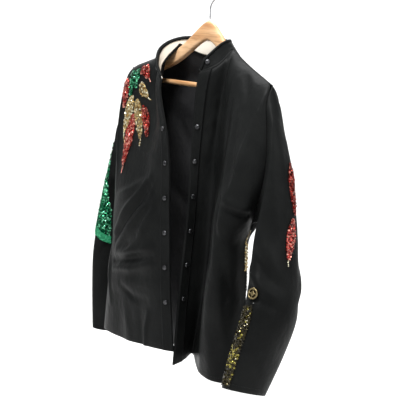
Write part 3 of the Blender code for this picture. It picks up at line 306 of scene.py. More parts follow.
class Panel:
    """A cloth panel's outer surface: its points and normals, and how its folds move what lies on it."""

    def __init__(self, node, mesh, free_edge):
        self.node = node
        outer, self.normals, points = outer_layer(mesh)
        self.points = points[outer]
        self.tree = tree_of(self.points)
        rim = np.unique(np.concatenate([p.vertices[:] for p in mesh.polygons if p.material_index == RIM]))
        self.border = points[np.intersect1d(rim, outer)]
        self.held = tree_of(self.border[[not free_edge(p) for p in self.border]])
        self.creases = [(self.crease(np.array(path)), width, rise)
                        for path, width, rise in FOLDS.get(node, ())]
        self.height = self.heights(self.points)
        self.points_moved = self.points + self.normals * self.height[:, None]

    def crease(self, line):
        """A fold's line, dropped on the surface and smoothed."""
        steps = range(len(line))
        spread = along_line(line, steps, np.linspace(0, len(line) - 1, FOLD_STEPS))
        near, _ = nearest(self.tree, spread)
        above = ((spread - self.points[near]) * self.normals[near]).sum(axis=1)
        spread -= self.normals[near] * above[:, None]
        for _ in range(FOLD_PASSES):
            spread[1:-1] = (spread[:-2] + 2 * spread[1:-1] + spread[2:]) / 4
        return spread

    def heights(self, points):
        """How far the folds lift each point."""
        if not self.creases:
            return np.zeros(len(points))
        wobble = np.array([noise.noise(Vector(p) * WOBBLE_SCALE) for p in points])
        uneven = points * UNEVEN_SCALE + (0, 0, UNEVEN_SHIFT)
        lift = UNEVEN * np.array([noise.noise(Vector(p)) for p in uneven])
        for line, width, rise in self.creases:
            gap = np.linalg.norm(points[:, None, :] - line[None, :, :], axis=2)
            along = gap.argmin(axis=1) / (len(line) - 1)
            taper = FOLD_ENDS + (1 - FOLD_ENDS) * np.sin(math.pi * np.clip(along, FOLD_TIP, 1 - FOLD_TIP))
            lift += rise * taper * np.exp(-((gap.min(axis=1) + WOBBLE * wobble) / width) ** 2)
        _, apart = nearest(self.held, points)
        lift *= smooth_step(apart, *SEAM_CALM)
        if self.node in BANDS:
            _, apart = nearest(BANDS[self.node], points)
            lift *= smooth_step(apart, *BAND_CALM)
        return lift

    def move(self, points):
        """Points moved with the folds of this panel."""
        near, _ = nearest(self.tree, points)
        return points + self.normals[near] * self.height[near][:, None]


def node_points(node):
    """The points of a node's solid."""
    return points_of(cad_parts[node].data)


def middle_of_body(point):
    """The middle of the body at a point's height."""
    return Vector((0.0, BODY_MIDDLE, point.z))


def middle_of_sleeve(node):
    """A function for the middle of a sleeve at a point's height."""
    points = node_points(node)
    height = points[:, 2]
    edges = np.linspace(height.min(), height.max(), SLEEVE_SLICES + 1)
    inside = [points[(height >= a) & (height <= b)] for a, b in zip(edges[:-1], edges[1:])]
    middles = np.array([(p.min(axis=0) + p.max(axis=0)) / 2 for p in inside])
    heights = (edges[1:] + edges[:-1]) / 2

    def middle(point):
        x, y = (np.interp(point.z, heights, middles[:, k]) for k in (0, 1))
        return Vector((x, y, point.z))

    return middle


BANDS = {
    "front_right": tree_of(node_points("placket_right")),
    "front_left": tree_of(node_points("placket_left")),
}

# Materials


def new_material(name):
    """A material with its shader and a maker for further nodes."""
    material = bpy.data.materials.new(name)
    material.use_nodes = True
    tree = material.node_tree
    shader = tree.nodes["Principled BSDF"]

    def add(kind, **values):
        node = tree.nodes.new(kind)
        for key, value in values.items():
            if key in node.inputs:
                node.inputs[key].default_value = value
            else:
                setattr(node, key, value)
        return node

    return material, tree, shader, add


def set_shader(shader, **values):
    """Sets the shader's own sockets."""
    for key, value in values.items():
        shader.inputs[key.replace("_", " ")].default_value = value


def noise_of(add, tree, scale, detail=3.0, stretch=(1, 1, 1)):
    """A noise texture over the object's own coordinates."""
    place = add("ShaderNodeTexCoord")
    shape = add("ShaderNodeMapping")
    shape.inputs["Scale"].default_value = stretch
    cloud = add("ShaderNodeTexNoise", Scale=scale, Detail=detail)
    tree.links.new(place.outputs["Object"], shape.inputs["Vector"])
    tree.links.new(shape.outputs["Vector"], cloud.inputs["Vector"])
    return cloud.outputs["Fac"]


def wave_of(add, tree, period, direction):
    """Bands with a period in metres over the object's own coordinates."""
    place = add("ShaderNodeTexCoord")
    scale = 2 * math.pi / (20 * period)
    bands = add("ShaderNodeTexWave", bands_direction=direction, Scale=scale, Distortion=0.4)
    tree.links.new(place.outputs["Object"], bands.inputs["Vector"])
    return bands.outputs["Fac"]


def ramp_of(add, tree, factor, colours, places):
    """Colours along a factor."""
    ramp = add("ShaderNodeValToRGB")
    while len(ramp.color_ramp.elements) < len(colours):
        ramp.color_ramp.elements.new(0.5)
    for element, colour, place in zip(ramp.color_ramp.elements, colours, places):
        element.position = place
        element.color = (*colour, 1)
    tree.links.new(factor, ramp.inputs["Fac"])
    return ramp.outputs["Color"]


def bumps_of(add, tree, shader, *heights):
    """Chains bumps, each a height and its depth in metres, into the shader's normal."""
    last = None
    for height, depth in heights:
        bump = add("ShaderNodeBump", Strength=1.0, Distance=depth)
        tree.links.new(height, bump.inputs["Height"])
        if last:
            tree.links.new(last, bump.inputs["Normal"])
        last = bump.outputs["Normal"]
    tree.links.new(last, shader.inputs["Normal"])


def product_of(add, tree, a, b):
    """The product of two factors."""
    product = add("ShaderNodeMath", operation="MULTIPLY")
    tree.links.new(a, product.inputs[0])
    tree.links.new(b, product.inputs[1])
    return product.outputs[0]


def darkened(add, tree, colour, by, share):
    """A colour multiplied by a share of another."""
    mix = add("ShaderNodeMix", data_type="RGBA", blend_type="MULTIPLY")
    mix.inputs["Factor"].default_value = share
    tree.links.new(colour, mix.inputs[6])
    tree.links.new(by, mix.inputs[7])
    return mix.outputs[2]


def cloth_material(name, dark, light, roughness, gloss, crinkle):
    """Woven cloth: diagonal weave, soft crinkles and slight changes of shade."""
    material, tree, shader, add = new_material(name)
    set_shader(shader, Roughness=roughness, Specular_IOR_Level=gloss)
    shade = ramp_of(add, tree, noise_of(add, tree, 11, 4), (dark, light), (0.35, 0.70))
    tree.links.new(shade, shader.inputs["Base Color"])
    weave = product_of(add, tree, wave_of(add, tree, 0.0009, "DIAGONAL"), wave_of(add, tree, 0.0007, "Z"))
    bumps_of(add, tree, shader,
             (noise_of(add, tree, 30, 3, (1, 1, 0.6)), crinkle),
             (noise_of(add, tree, 110, 2), crinkle * 0.22),
             (weave, 0.00006))
    return material


BLACK = cloth_material("black_cloth", (0.0062, 0.0066, 0.0065), (0.0110, 0.0116, 0.0113),
                       0.40, 0.045, 0.0022)
# The lining's colours are lighter than the black cloth's: a painted fill light for the inside, where
# little light reaches.
LINING_PAINTED_FILL = cloth_material("black_lining_painted_fill", (0.016, 0.016, 0.017), (0.030, 0.030, 0.031), 0.38, 0.08, 0.0035)
CREAM = cloth_material("cream_cloth", (0.60, 0.54, 0.45), (0.76, 0.72, 0.64), 0.78, 0.20, 0.0010)


def thread_material():
    """Sewing thread, twisted along its length."""
    material, tree, shader, add = new_material("black_thread")
    set_shader(shader, Roughness=0.45, Specular_IOR_Level=0.15)
    colours = (0.007, 0.007, 0.008), (0.020, 0.020, 0.021)
    shade = ramp_of(add, tree, noise_of(add, tree, 300, 2), colours, (0.3, 0.7))
    tree.links.new(shade, shader.inputs["Base Color"])
    bumps_of(add, tree, shader, (wave_of(add, tree, 0.0005, "DIAGONAL"), 0.00006))
    return material


def wood_material():
    """Varnished pale beech with its grain along the arms."""
    material, tree, shader, add = new_material("hanger_wood_grain")
    set_shader(shader, Roughness=0.34, Coat_Weight=0.45, Coat_Roughness=0.18)
    grain = noise_of(add, tree, 34, 6, (0.18, 1.6, 1.6))
    rings = noise_of(add, tree, 260, 3, (0.05, 1, 1))
    colours = (0.40, 0.19, 0.075), (0.60, 0.35, 0.17), (0.74, 0.50, 0.30)
    pale = ramp_of(add, tree, grain, colours, (0.30, 0.52, 0.74))
    fine = ramp_of(add, tree, rings, ((0.60, 0.52, 0.44), (1, 1, 1)), (0.32, 0.52))
    tree.links.new(darkened(add, tree, pale, fine, 0.7), shader.inputs["Base Color"])
    bumps_of(add, tree, shader, (rings, 0.00010), (grain, 0.0003))
    return material


def metal_material(name, dark, light, roughness, scratch):
    """Worn metal: tarnish in patches and fine scratches."""
    material, tree, shader, add = new_material(name)
    set_shader(shader, Metallic=1.0)
    worn = noise_of(add, tree, 240, 5)
    shade = ramp_of(add, tree, worn, (dark, light), (0.34, 0.58))
    tree.links.new(shade, shader.inputs["Base Color"])
    greys = (roughness + 0.14,) * 3, (roughness - 0.04,) * 3
    rough = ramp_of(add, tree, noise_of(add, tree, 420, 3), greys, (0.3, 0.7))
    tree.links.new(rough, shader.inputs["Roughness"])
    bumps_of(add, tree, shader, (noise_of(add, tree, 900, 2, (1, 1, 0.2)), scratch))
    return material


STEEL = metal_material("hook_steel", (0.30, 0.30, 0.31), (0.62, 0.62, 0.64), 0.24, 0.00003)
SILVER = metal_material("snap_silver", (0.030, 0.030, 0.032), (0.11, 0.11, 0.115), 0.36, 0.00003)
BRASS = metal_material("button_brass", (0.16, 0.12, 0.055), (0.34, 0.27, 0.14), 0.34, 0.00003)
# Near-black metal for the button's wells: painted shade in its recesses.
WELL_SHADE = metal_material("button_well_shade", (0.006, 0.005, 0.003), (0.020, 0.015, 0.008), 0.55, 0.00008)
WOOD = wood_material()
THREAD = thread_material()


def sequin_material(name, roughness, metallic):
    """Foil sequins: each takes its own tint, with fine clouding in the foil."""
    material, tree, shader, add = new_material(name)
    set_shader(shader, Roughness=roughness, Metallic=metallic, Coat_Weight=0.5, Coat_Roughness=0.08)
    tint = add("ShaderNodeVertexColor", layer_name="tint")
    cloud = ramp_of(add, tree, noise_of(add, tree, 700, 2), ((0.70, 0.70, 0.70), (1, 1, 1)), (0.3, 0.6))
    tree.links.new(darkened(add, tree, tint.outputs["Color"], cloud, 1.0), shader.inputs["Base Color"])
    bumps_of(add, tree, shader, (noise_of(add, tree, 500, 2), 0.00010))
    return material


FOIL = sequin_material("sequin_foil", 0.17, 0.75)
BEAD = sequin_material("bead_glass", 0.12, 0.55)
STRIP = sequin_material("strip_ribbon", 0.38, 0.45)

# Cloth pieces


def is_hem(point):
    """Whether a point of the body's border is on the hem."""
    return point[2] < HEM_TOP


def is_cuff(point):
    """Whether a point of a sleeve's border is on the cuff."""
    return point[2] < CUFF_TOP


def is_anywhere(point):
    """True for every point of a border."""
    return True


# Large ones: node, subdivisions, middle, edge that hangs free, what it rests on, width and length of cut
CLOTHS = (
    ("back", 2, middle_of_body, is_hem, ["hanger_wood_piece"], (0.51, 0.69)),
    ("front_right", 3, middle_of_body, is_hem, ["hanger_wood_piece"], (0.35, 0.69)),
    ("front_left", 3, middle_of_body, is_hem, ["hanger_wood_piece"], (0.30, 0.69)),
    ("sleeve_right", 3, None, is_cuff, ["front_right_cloth", "back_cloth"], (0.26, 0.64)),
    ("sleeve_left", 3, None, is_cuff, ["front_left_cloth", "back_cloth"], (0.33, 0.63)),
)
# Small ones: node, material, slot, what it rests on, width and length of cut
TRIMS = (
    ("collar", BLACK, "cloth", ["front_right_cloth", "front_left_cloth"], (0.034, 0.44)),
    ("collar_facing", CREAM, "cream", ["collar_cloth"], (0.033, 0.43)),
    ("placket_right", BLACK, "cloth", ["front_right_cloth"], (0.028, 0.58)),
    ("placket_left", BLACK, "cloth", ["front_left_cloth"], (0.028, 0.63)),
)
LINED = 1  # the lining's place among a cloth's materials
panels = {}


def lay_cloth(node, mesh, material):
    inside = [p.index for p in mesh.polygons if p.material_index == INNER]
    piece = new_piece(node + "_cloth", mesh, material, [node])
    if material is BLACK:
        mesh.materials.append(LINING_PAINTED_FILL)
        for index in inside:
            mesh.polygons[index].material_index = LINED


# Sections swept along the collar's edges, as steps outwards and downwards.
# The black cloth turns over the top edge onto the cream facing.
TURN_SECTION = ((0.0009, 0.0040), (0.0014, 0.0004), (0.0004, -0.0014), (-0.0022, -0.0017),
                (-0.0042, 0.0000), (-0.0046, 0.0056), (-0.0038, 0.0060), (-0.0030, 0.0012),
                (-0.0014, 0.0000), (0.0002, 0.0006))
# The neck seam lies over the joint between the collar and the fronts and back.
FOOT_SECTION = ((0.0002, -0.0022), (0.0007, -0.0010), (0.0009, 0.0012), (0.0004, 0.0042),
                (-0.0014, 0.0046), (-0.0028, 0.0034), (-0.0028, -0.0006), (-0.0012, -0.0022))
COLLAR_SECTORS = 12                    # sectors to a radian round the collar, each with its own height
TOP_SHARE, FOOT_SHARE = 0.62, 0.25     # its edges lie above and below these shares of that height
EDGE_PITCH, EDGE_START = 0.004, 0.001  # distance between sections, and before the first
BORDER_GAP = 0.05                      # a border ends where its next point is farther than this


def border_line(panel, wanted):
    """The wanted points of a panel's border, in order along it."""
    left = [p for p in panel.border if wanted(p)]
    middle = np.mean(left, axis=0)
    line = [left.pop(int(np.argmax([np.linalg.norm(p - middle) for p in left])))]
    while left:
        gaps = [np.linalg.norm(p - line[-1]) for p in left]
        k = int(np.argmin(gaps))
        if gaps[k] > BORDER_GAP:
            break
        line.append(left.pop(k))
    return np.array(line)


def spaced(line, pitch, start):
    """Points a pitch apart along a line, from a start distance."""
    steps = np.concatenate([[0], np.cumsum(np.linalg.norm(np.diff(line, axis=0), axis=1))])
    return along_line(line, steps, np.arange(start, steps[-1], pitch))


def swept_band(name, line, normals, downs, section):
    """A closed section carried along a line, with flat ends."""
    points, faces = [], []
    count = len(section)
    for at, normal, down in zip(line, normals, downs):
        points += [at + normal * out + down * below for out, below in section]
    for i in range(len(line) - 1):
        for k in range(count):
            j = (k + 1) % count
            faces.append((i * count + k, i * count + j, (i + 1) * count + j, (i + 1) * count + k))
    faces.append(tuple(range(count))[::-1])
    faces.append(tuple(len(points) - count + k for k in range(count)))
    return joined_mesh(name, points, faces)


def collar_edges(panel):
    """The collar's top and bottom edges in order, with their normals and the direction down the collar."""
    middle = panel.points.mean(axis=0)
    heights = {}

    def sector(point):
        return round(math.atan2(point[1] - middle[1], point[0] - middle[0]) * COLLAR_SECTORS)

    def level(point, share):
        low, high = min(heights[sector(point)]), max(heights[sector(point)])
        return low + share * (high - low)

    def on_top(point):
        return point[2] > level(point, TOP_SHARE)

    def at_foot(point):
        return point[2] < level(point, FOOT_SHARE)

    for point in panel.points:
        heights.setdefault(sector(point), []).append(point[2])
    edges = []
    for wanted in (on_top, at_foot):
        line = spaced(border_line(panel, wanted), EDGE_PITCH, EDGE_START)
        near, _ = nearest(panel.tree, line)
        normals = panel.normals[near]
        downs = unit(np.cross(np.gradient(line, axis=0), normals))
        downs *= np.where(downs[:, 2] > 0, -1.0, 1.0)[:, None]
        edges.append((line, normals, downs))
    return edges


# Hanger

for node, finish, slot in (("hanger_wood", WOOD, "wood"), ("hanger_bar", WOOD, "wood"),
                           ("hanger_hook", STEEL, "steel")):
    new_piece(node + "_piece", dressed_mesh(node, 2), finish, [node])

# Cloth on its hanger

for node, levels, middle, free_edge, rests_on, cut in CLOTHS:
    mesh = dressed_mesh(node, levels, middle or middle_of_sleeve(node))
    panel = Panel(node, mesh, free_edge)
    set_points(mesh, panel.move(points_of(mesh)))
    panels[node] = panel
    lay_cloth(node, mesh, BLACK)

for node, material, slot, rests_on, cut in TRIMS:
    mesh = dressed_mesh(node, 3, middle_of_body)
    panel = Panel(node, mesh, is_anywhere)
    panels[node] = panel
    if node == "collar":
        sections = (TURN_SECTION, FOOT_SECTION)
        for name, edge, section in zip(("collar_turn", "collar_seam"), collar_edges(panel), sections):
            new_piece(name, swept_band(name, *edge, section), BLACK)
    lay_cloth(node, mesh, material)

# Snaps and button

WELL_LEVEL, WELL_REACH = 0.82, 0.80  # the button's sunken parts, darkened as painted shade: share of its height and of its radius

for node in sorted(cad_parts):
    if node.startswith("snap_"):
        new_piece(node + "_cap", dressed_mesh(node, 1), SILVER, [node])


def darken_wells(cap):
    """Gives the sunken parts of the button's face a near-black metal: painted shade in its wells."""
    mesh = cap.data
    points = points_of(mesh)
    middle = points.mean(axis=0)
    _, _, directions = np.linalg.svd(points - middle)
    outward, radius = directions[2], np.ptp(points @ directions[0]) / 2
    if outward[1] > 0:
        outward = -outward
    levels = points @ outward
    low, high = levels.min(), levels.max()
    mesh.materials.append(WELL_SHADE)
    for face in mesh.polygons:
        centre = np.array(face.center)
        reach = np.linalg.norm(np.cross(centre - middle, outward)) / radius
        sunken = (centre @ outward - low) / (high - low) < WELL_LEVEL
        face.material_index = int(sunken and reach < WELL_REACH)


darken_wells(new_piece("cuff_button_cap", dressed_mesh("cuff_button", 1), BRASS, ["cuff_button"]))

# Sequins

SEQUIN_RADIUS = 0.0023
SEQUIN_SIDES = 8
SIZE_SPREAD = 0.06                  # spread of the sequins' sizes, as a share
CUP_UPPER, CUP_LOWER = 0.16, 0.26   # depth of a sequin's cup on either face, in radii
SEQUIN_LEAN = -0.22                 # how far they lean like scales, in radians
SEQUIN_SEAT, SEAT_SPREAD = 0.0016, 0.0004  # height of their centres over the cloth, and its spread
ROW_PITCH = 0.0030
SEQUIN_PITCH = 0.0034
ROW_START = 0.4                     # share of a pitch before the first row
SEQUIN_STARTS = (0.25, 0.75)        # share of a pitch before the first sequin of even and odd rows
UPPER_SIDE = 0.5                    # cosine from the cloth's normal within which a face is an upper one
CARRIER = {"green_field": "sleeve_right", "green_strip": "sleeve_right", "cuff_band": "sleeve_left",
           "side_strip": "front_left", "pod_red_5": "sleeve_left", "pod_red_6": "sleeve_left"}
TINT_GAIN = 1.6                     # how quickly they go from the dark colour to the middle one
# Colours of the sequins: dark, middle and bright; the bright one is a painted glint, a highlight painted
# into a sequin's colour
TINTS = {
    "red": ((0.20, 0.010, 0.012), (0.60, 0.050, 0.032), (0.98, 0.42, 0.32)),
    "gold": ((0.28, 0.19, 0.07), (0.70, 0.50, 0.20), (1.00, 0.93, 0.68)),
    "green": ((0.000, 0.030, 0.014), (0.000, 0.24, 0.09), (0.22, 0.78, 0.46)),
    "mint": ((0.010, 0.22, 0.09), (0.020, 0.36, 0.15), (0.08, 0.55, 0.28)),
    "silver": ((0.10, 0.10, 0.10), (0.30, 0.30, 0.29), (0.85, 0.84, 0.80)),
    "olive": ((0.008, 0.007, 0.002), (0.055, 0.042, 0.009), (0.50, 0.42, 0.08)),
}


def outer_faces(node, panel):
    """A laid piece's points and the triangles of its upper side."""
    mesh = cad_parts[node].data
    mesh.calc_loop_triangles()
    points = points_of(mesh)
    triangles = np.array([t.vertices[:] for t in mesh.loop_triangles])
    a, b, c = (points[triangles[:, k]] for k in range(3))
    facing = unit(np.cross(b - a, c - a))
    near, _ = nearest(panel.tree, (a + b + c) / 3)
    return points, triangles[(facing * panel.normals[near]).sum(axis=1) > UPPER_SIDE]


def lengthened(line, ends):
    """Adds to a line the first of some short ones that meets it, and says whether one did."""
    for k, (p, q) in enumerate(ends):
        for end, other in ((p, q), (q, p)):
            if np.linalg.norm(end - line[-1]) < WELD:
                line.append(other)
            elif np.linalg.norm(end - line[0]) < WELD:
                line.insert(0, other)
            else:
                continue
            ends.pop(k)
            return True
    return False


def cut_rows(points, triangles, axis, heights):
    """Lines where planes across an axis cut some triangles, as points in order along each row."""
    at = points @ axis
    rows = []
    for height in heights:
        ends = []
        for triangle in triangles:
            side = at[triangle] - height
            if side.min() > 0 or side.max() < 0:
                continue
            crossing = []
            for i in range(3):
                j = (i + 1) % 3
                if side[i] * side[j] < 0:
                    share = side[i] / (side[i] - side[j])
                    crossing.append(points[triangle[i]] * (1 - share) + points[triangle[j]] * share)
            if len(crossing) == 2:
                ends.append(crossing)
        while ends:
            line = list(ends.pop())
            while lengthened(line, ends):
                continue
            rows.append(np.array(line))
    return rows


def sewn_points(node, panel, axis, row_pitch, pitch, overhang):
    """Where sequins are sewn on a laid piece: rows across an axis, every other one set over by half."""
    points, triangles = outer_faces(node, panel)
    at = points[np.unique(triangles)] @ axis
    heights = np.arange(at.min() + row_pitch * ROW_START, at.max(), row_pitch)
    placed = []
    for i, row in enumerate(cut_rows(points, triangles, axis, heights)):
        run = (row[-1] - row[0]) / max(np.linalg.norm(row[-1] - row[0]), TINY)
        row = np.concatenate([[row[0] - run * overhang], row, [row[-1] + run * overhang]])
        placed.append(spaced(row, pitch, pitch * SEQUIN_STARTS[i % 2]))
    return np.concatenate(placed)


def seats(panel, points, lift):
    """Points dropped on a panel's folded surface and raised by a lift, and the normals there."""
    near, _ = nearest(panel.tree, points)
    normals = panel.normals[near]
    surface = panel.points_moved[near]
    above = ((points - surface) * normals).sum(axis=1)
    return points - normals * above[:, None] + normals * lift, normals


def paint(mesh, tints, points_each):
    """Gives each group of a mesh's points its own tint."""
    colours = np.repeat(np.column_stack((tints, np.ones(len(tints)))), points_each, axis=0)
    layer = mesh.color_attributes.new("tint", "FLOAT_COLOR", "POINT")
    layer.data.foreach_set("color", colours.astype(np.float32).ravel())


def disc_mesh(name, centres, normals, along, scatter, tints):
    """Many cupped discs in one mesh, leaning like scales, each with its own tint."""
    down = unit(along - normals * (normals @ along)[:, None])
    across = np.cross(down, normals)
    turn = np.linspace(0, 2 * math.pi, SEQUIN_SIDES, endpoint=False)
    count = len(centres)
    size = SEQUIN_RADIUS * (1 + SIZE_SPREAD * rng.standard_normal(count))
    tilt_down = SEQUIN_LEAN + scatter * rng.standard_normal(count)
    tilt_side = scatter * rng.standard_normal(count)
    points, faces = [], []
    for i in range(count):
        normal = normals[i] + down[i] * math.tan(tilt_down[i]) + across[i] * math.tan(tilt_side[i])
        normal /= np.linalg.norm(normal)
        side = np.cross(down[i], normal)
        side /= np.linalg.norm(side)
        fore = np.cross(normal, side)
        ring = [centres[i] + size[i] * (math.cos(t) * side + math.sin(t) * fore) for t in turn]
        base = len(points)
        points += ring + [centres[i] - normal * size[i] * depth for depth in (CUP_UPPER, CUP_LOWER)]
        for k in range(SEQUIN_SIDES):
            j = (k + 1) % SEQUIN_SIDES
            faces.append((base + k, base + j, base + SEQUIN_SIDES))
            faces.append((base + j, base + k, base + SEQUIN_SIDES + 1))
    mesh = joined_mesh(name, points, faces, smooth=False)
    paint(mesh, tints, SEQUIN_SIDES + 2)
    return mesh


def tints_for(kind, count, glint_share):
    """A colour for each sequin, mostly the middle one, with a share given the bright colour as a painted
    glint.
    """
    dark, middle, light = (np.array(c) for c in TINTS[kind])
    t = rng.random(count)[:, None]
    low = dark + (middle - dark) * np.clip(t * TINT_GAIN, 0, 1)
    # the ones given the bright colour are painted glints
    return np.where(rng.random(count)[:, None] < glint_share, light, low)


def sew(node, kind, axis, scatter, glint_share, material=FOIL, lit=None,
        row_pitch=ROW_PITCH, pitch=SEQUIN_PITCH, overhang=0.0):
    """Covers a laid piece with sequins; lit gives the low end, high end and painted-glint share of a part
    with more painted glints.
    """
    panel = panels[CARRIER.get(node, "front_right")]
    axis = np.array(axis, float) / np.linalg.norm(axis)
    points = sewn_points(node, panel, axis, row_pitch, pitch, overhang)
    centres, normals = seats(panel, points, SEQUIN_SEAT)
    centres = centres + normals * (SEAT_SPREAD * rng.random(len(centres)))[:, None]
    tints = tints_for(kind, len(centres), glint_share)
    if lit:
        share = (centres[:, 2] - centres[:, 2].min()) / np.ptp(centres[:, 2])
        inside = (share > lit[0]) & (share < lit[1])
        tints[inside] = tints_for(kind, int(inside.sum()), lit[2])
    mesh = disc_mesh(node, centres, normals, -axis, scatter, tints)
    new_piece(node + "_sequins", mesh, material, [node])


def long_axis(node):
    """The direction a pod or leaf runs in, pointing up."""
    points = node_points(node)
    _, _, directions = np.linalg.svd(points - points.mean(axis=0))
    axis = directions[0]
    return axis if axis[2] > 0 else -axis


# The fifth value of each sew call is the share of sequins that get the bright colour as a painted glint.
for node in sorted(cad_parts):
    if node.startswith(("pod_red", "pod_gold", "leaf_green")):
        kind = node.split("_")[1]
        sew(node, kind, long_axis(node), 0.24, 0.28, row_pitch=0.0026, pitch=0.0029,
            overhang=SEQUIN_RADIUS)
sew("green_field", "green", (0, 0, 1), 0.30, 0.22)
# The cuff band's lit part gets more painted glints: a painted patch of highlights.
sew("cuff_band", "olive", (0, 0, 1), 0.26, 0.06, lit=(0.24, 0.50, 0.45), row_pitch=0.0032)
sew("green_strip", "mint", (0, 0, 1), 0.06, 0.3, STRIP, row_pitch=0.0022, pitch=0.0024)
sew("side_strip", "gold", (0, 0, 1), 0.25, 0.3)

# Beads

BEAD_RADIUS, BEAD_PITCH = 0.0013, 0.0030
BEAD_LIFT = 0.0002   # gap between a bead and the cloth
BEAD_GLINT_SHARE = 0.5    # share of painted glints, beads given the bright colour as a highlight
# Strings of beads past the ends of laid pieces: piece, 1 down or -1 up, beads, sideways drift, tint
STRINGS = (
    ("pod_gold_2", 1, 7, -0.55, "gold"),
    ("pod_gold_3", 1, 6, 0.10, "gold"),
    ("pod_gold_1", 1, 4, -0.30, "gold"),
    ("pod_red_3", 1, 5, 0.10, "red"),
    ("pod_red_1", 1, 4, 0.20, "red"),
    ("pod_red_6", 1, 4, -0.20, "gold"),
    ("cuff_band", -1, 1, 0.0, "silver"),
    ("side_strip", -1, 9, 0.0, "gold"),
    ("side_strip", 1, 14, 0.0, "silver"),
)


def ball(radius):
    """A small round bead as points and faces."""
    bm = bmesh.new()
    bmesh.ops.create_icosphere(bm, subdivisions=2, radius=radius)
    points = np.array([v.co[:] for v in bm.verts])
    faces = [tuple(v.index for v in f.verts) for f in bm.faces]
    bm.free()
    return points, faces


def add_beads(name, panel, places, kind):
    """Round beads seated on a panel, as one mesh."""
    shape, shape_faces = ball(BEAD_RADIUS)
    centres, _ = seats(panel, np.array(places), BEAD_RADIUS + BEAD_LIFT)
    tints = tints_for(kind, len(centres), BEAD_GLINT_SHARE)
    points = np.concatenate([shape + centre for centre in centres])
    faces = [tuple(i * len(shape) + v for v in face) for i in range(len(centres)) for face in shape_faces]
    mesh = joined_mesh(name, points, faces)
    paint(mesh, tints, len(shape))
    new_piece(name, mesh, BEAD)


for node, way, count, drift, kind in STRINGS:
    panel = panels[CARRIER.get(node, "front_right")]
    axis = long_axis(node) * way
    points = node_points(node)
    tip = points[(points @ axis).argmin()]
    _, normals = seats(panel, tip[None], 0.0)
    side = np.cross(normals[0], axis)
    places = [tip + BEAD_PITCH * (k + 1) * (-axis + drift * side * (k + 1) / count) for k in range(count)]
    add_beads(f"{node}_{kind}_beads", panel, places, kind)

# Stitches

STITCH, STITCH_PITCH = 0.0026, 0.0036  # length of a stitch, and from one to the next
STITCH_LIFT = 0.00025                  # its height over the cloth
STITCH_SINK = 0.0003                   # how far its ends go down from there
STITCH_RADIUS = 0.00028
STITCH_NECK = 0.3                      # share of its length from its middle to where it narrows


def stitch_mesh(name, panel, line):
    """A row of stitches as one mesh of small pointed rods lying on a panel."""
    points, faces = [], []
    seated, normals = seats(panel, spaced(line, STITCH_PITCH, STITCH_PITCH / 2), STITCH_LIFT)
    for at, normal, step in zip(seated, normals, np.gradient(seated, axis=0)):
        step = step / max(np.linalg.norm(step), TINY)
        side = np.cross(normal, step)
        base = len(points)
        points.append(at - step * STITCH / 2 - normal * STITCH_SINK)
        for share in (-STITCH_NECK, STITCH_NECK):
            for a in range(4):
                turn = math.pi / 4 + a * math.pi / 2
                out = math.cos(turn) * side + math.sin(turn) * normal
                points.append(at + step * STITCH * share + STITCH_RADIUS * out)
        points.append(at + step * STITCH / 2 - normal * STITCH_SINK)
        for a in range(4):
            b = (a + 1) % 4
            faces.append((base, base + 1 + b, base + 1 + a))
            faces.append((base + 1 + a, base + 1 + b, base + 5 + b, base + 5 + a))
            faces.append((base + 9, base + 5 + a, base + 5 + b))
    return joined_mesh(name, points, faces)


def inset(panel, line, distance):
    """A border line moved in over the panel by a distance."""
    near, _ = nearest(panel.tree, line)
    inward = unit(np.cross(panel.normals[near], np.gradient(line, axis=0)))
    middle = panel.points.mean(axis=0)
    inward *= np.sign(((middle - line) * inward).sum(axis=1).sum())
    return line + inward * distance


# The stitched edges: node, which part of its border, how far in
STITCHED = (
    ("placket_right", is_anywhere, 0.0025),
    ("placket_left", is_anywhere, 0.0025),
    ("collar", is_anywhere, 0.0050),
    ("front_right", is_hem, 0.010),
    ("front_left", is_hem, 0.010),
    ("back", is_hem, 0.010),
    ("sleeve_right", is_cuff, 0.012),
    ("sleeve_left", is_cuff, 0.012),
)
for node, wanted, distance in STITCHED:
    panel = panels[node]
    line = inset(panel, border_line(panel, wanted), distance)
    new_piece(node + "_stitches", stitch_mesh(node + "_stitches", panel, line), THREAD)

# Floor, lights and camera

TURN = math.radians(CAMERA_TURN)
AHEAD = Vector((-math.sin(TURN), math.cos(TURN), 0))  # level, away from the camera
ASIDE = Vector((math.cos(TURN), math.sin(TURN), 0))   # level, to its right
JACKET_MIDDLE = Vector((0.03, -0.03, -0.42))
FLOOR_FRONT, FLOOR_BACK = -5.0, 2.2  # the ends of the floor's level part, ahead of the origin
FLOOR_REACH = 5.0                    # half of its width
BEND_RADIUS, BEND_STEPS = 0.9, 10
WALL_TOP = 4.5


def backdrop():
    """A pale floor that sweeps up into a wall."""
    material, tree, shader, add = new_material("pale_floor")
    set_shader(shader, Roughness=0.9)
    colours = (0.86, 0.86, 0.85), (0.90, 0.90, 0.89)
    shade = ramp_of(add, tree, noise_of(add, tree, 3, 2), colours, (0.3, 0.7))
    tree.links.new(shade, shader.inputs["Base Color"])
    profile = [(FLOOR_FRONT, 0.0)]
    for turn in np.linspace(0, math.pi / 2, BEND_STEPS):
        rise = BEND_RADIUS - BEND_RADIUS * math.cos(turn)
        profile.append((FLOOR_BACK + BEND_RADIUS * math.sin(turn), rise))
    profile.append((FLOOR_BACK + BEND_RADIUS, WALL_TOP))
    points, faces = [], []
    for depth, height in profile:
        for reach in (-FLOOR_REACH, FLOOR_REACH):
            points.append(AHEAD * depth + ASIDE * reach + Vector((0, 0, FLOOR_HEIGHT + height)))
    for i in range(len(profile) - 1):
        faces.append((2 * i, 2 * i + 1, 2 * i + 3, 2 * i + 2))
    floor = bpy.data.objects.new("floor", joined_mesh("floor", points, faces))
    bpy.context.scene.collection.objects.link(floor)
    floor.data.materials.append(material)


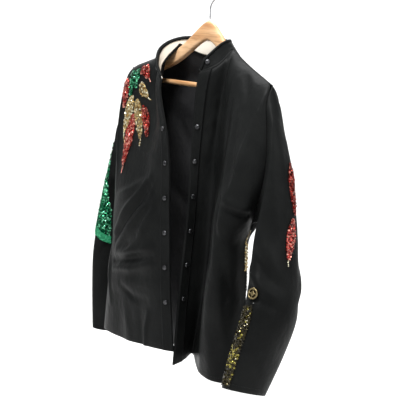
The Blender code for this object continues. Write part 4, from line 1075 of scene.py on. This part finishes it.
def view_axes():
    """The camera's right, up and forward directions."""
    pitch, roll = math.radians(CAMERA_PITCH), math.radians(CAMERA_ROLL)
    up = Vector((0, 0, 1))
    forward = AHEAD * math.cos(pitch) + up * math.sin(pitch)
    upward = up * math.cos(pitch) - AHEAD * math.sin(pitch)
    return (ASIDE * math.cos(roll) + upward * math.sin(roll),
            upward * math.cos(roll) - ASIDE * math.sin(roll), forward)


def add_camera():
    """The camera, at the photograph's place."""
    right, up, forward = view_axes()
    data = bpy.data.cameras.new("camera")
    data.lens = CAMERA_LENS
    data.sensor_width = CAMERA_SENSOR
    camera = bpy.data.objects.new("camera", data)
    place = Vector((math.sin(TURN) * CAMERA_DISTANCE, -math.cos(TURN) * CAMERA_DISTANCE, CAMERA_HEIGHT))
    axes = Matrix((right, up, -forward)).transposed().to_4x4()
    camera.matrix_world = Matrix.Translation(place) @ axes
    bpy.context.scene.collection.objects.link(camera)
    bpy.context.scene.camera = camera


def add_light(name, aside, near, height, size, power, target=JACKET_MIDDLE):
    """A square soft light to the camera's right of the jacket, towards it and up, aimed at a target."""
    data = bpy.data.lights.new(name, "AREA")
    data.size = size
    data.energy = power
    light = bpy.data.objects.new(name, data)
    place = JACKET_MIDDLE + ASIDE * aside - AHEAD * near + Vector((0, 0, height))
    aim = (target - place).to_track_quat("-Z", "Y").to_matrix().to_4x4()
    light.matrix_world = Matrix.Translation(place) @ aim
    bpy.context.scene.collection.objects.link(light)


backdrop()
add_camera()
add_light("key", -0.35, 0.75, 1.6, 0.6, 50, Vector((0.03, -0.03, -0.25)))
add_light("fill", 1.6, 1.2, 0.8, 1.2, 12, Vector((0.1, -0.05, -0.2)))
add_light("top", -0.2, -0.6, 1.7, 1.0, 26)
add_light("wall", 0.0, -1.2, 1.3, 2.0, 42, Vector((-1.9, 1.6, -0.3)))
world = bpy.data.worlds.new("studio")
world.use_nodes = True
world.node_tree.nodes["Background"].inputs["Color"].default_value = (0.95, 0.97, 1.0, 1)
world.node_tree.nodes["Background"].inputs["Strength"].default_value = 0.44
bpy.context.scene.world = world
bpy.context.scene.view_settings.view_transform = "Standard"
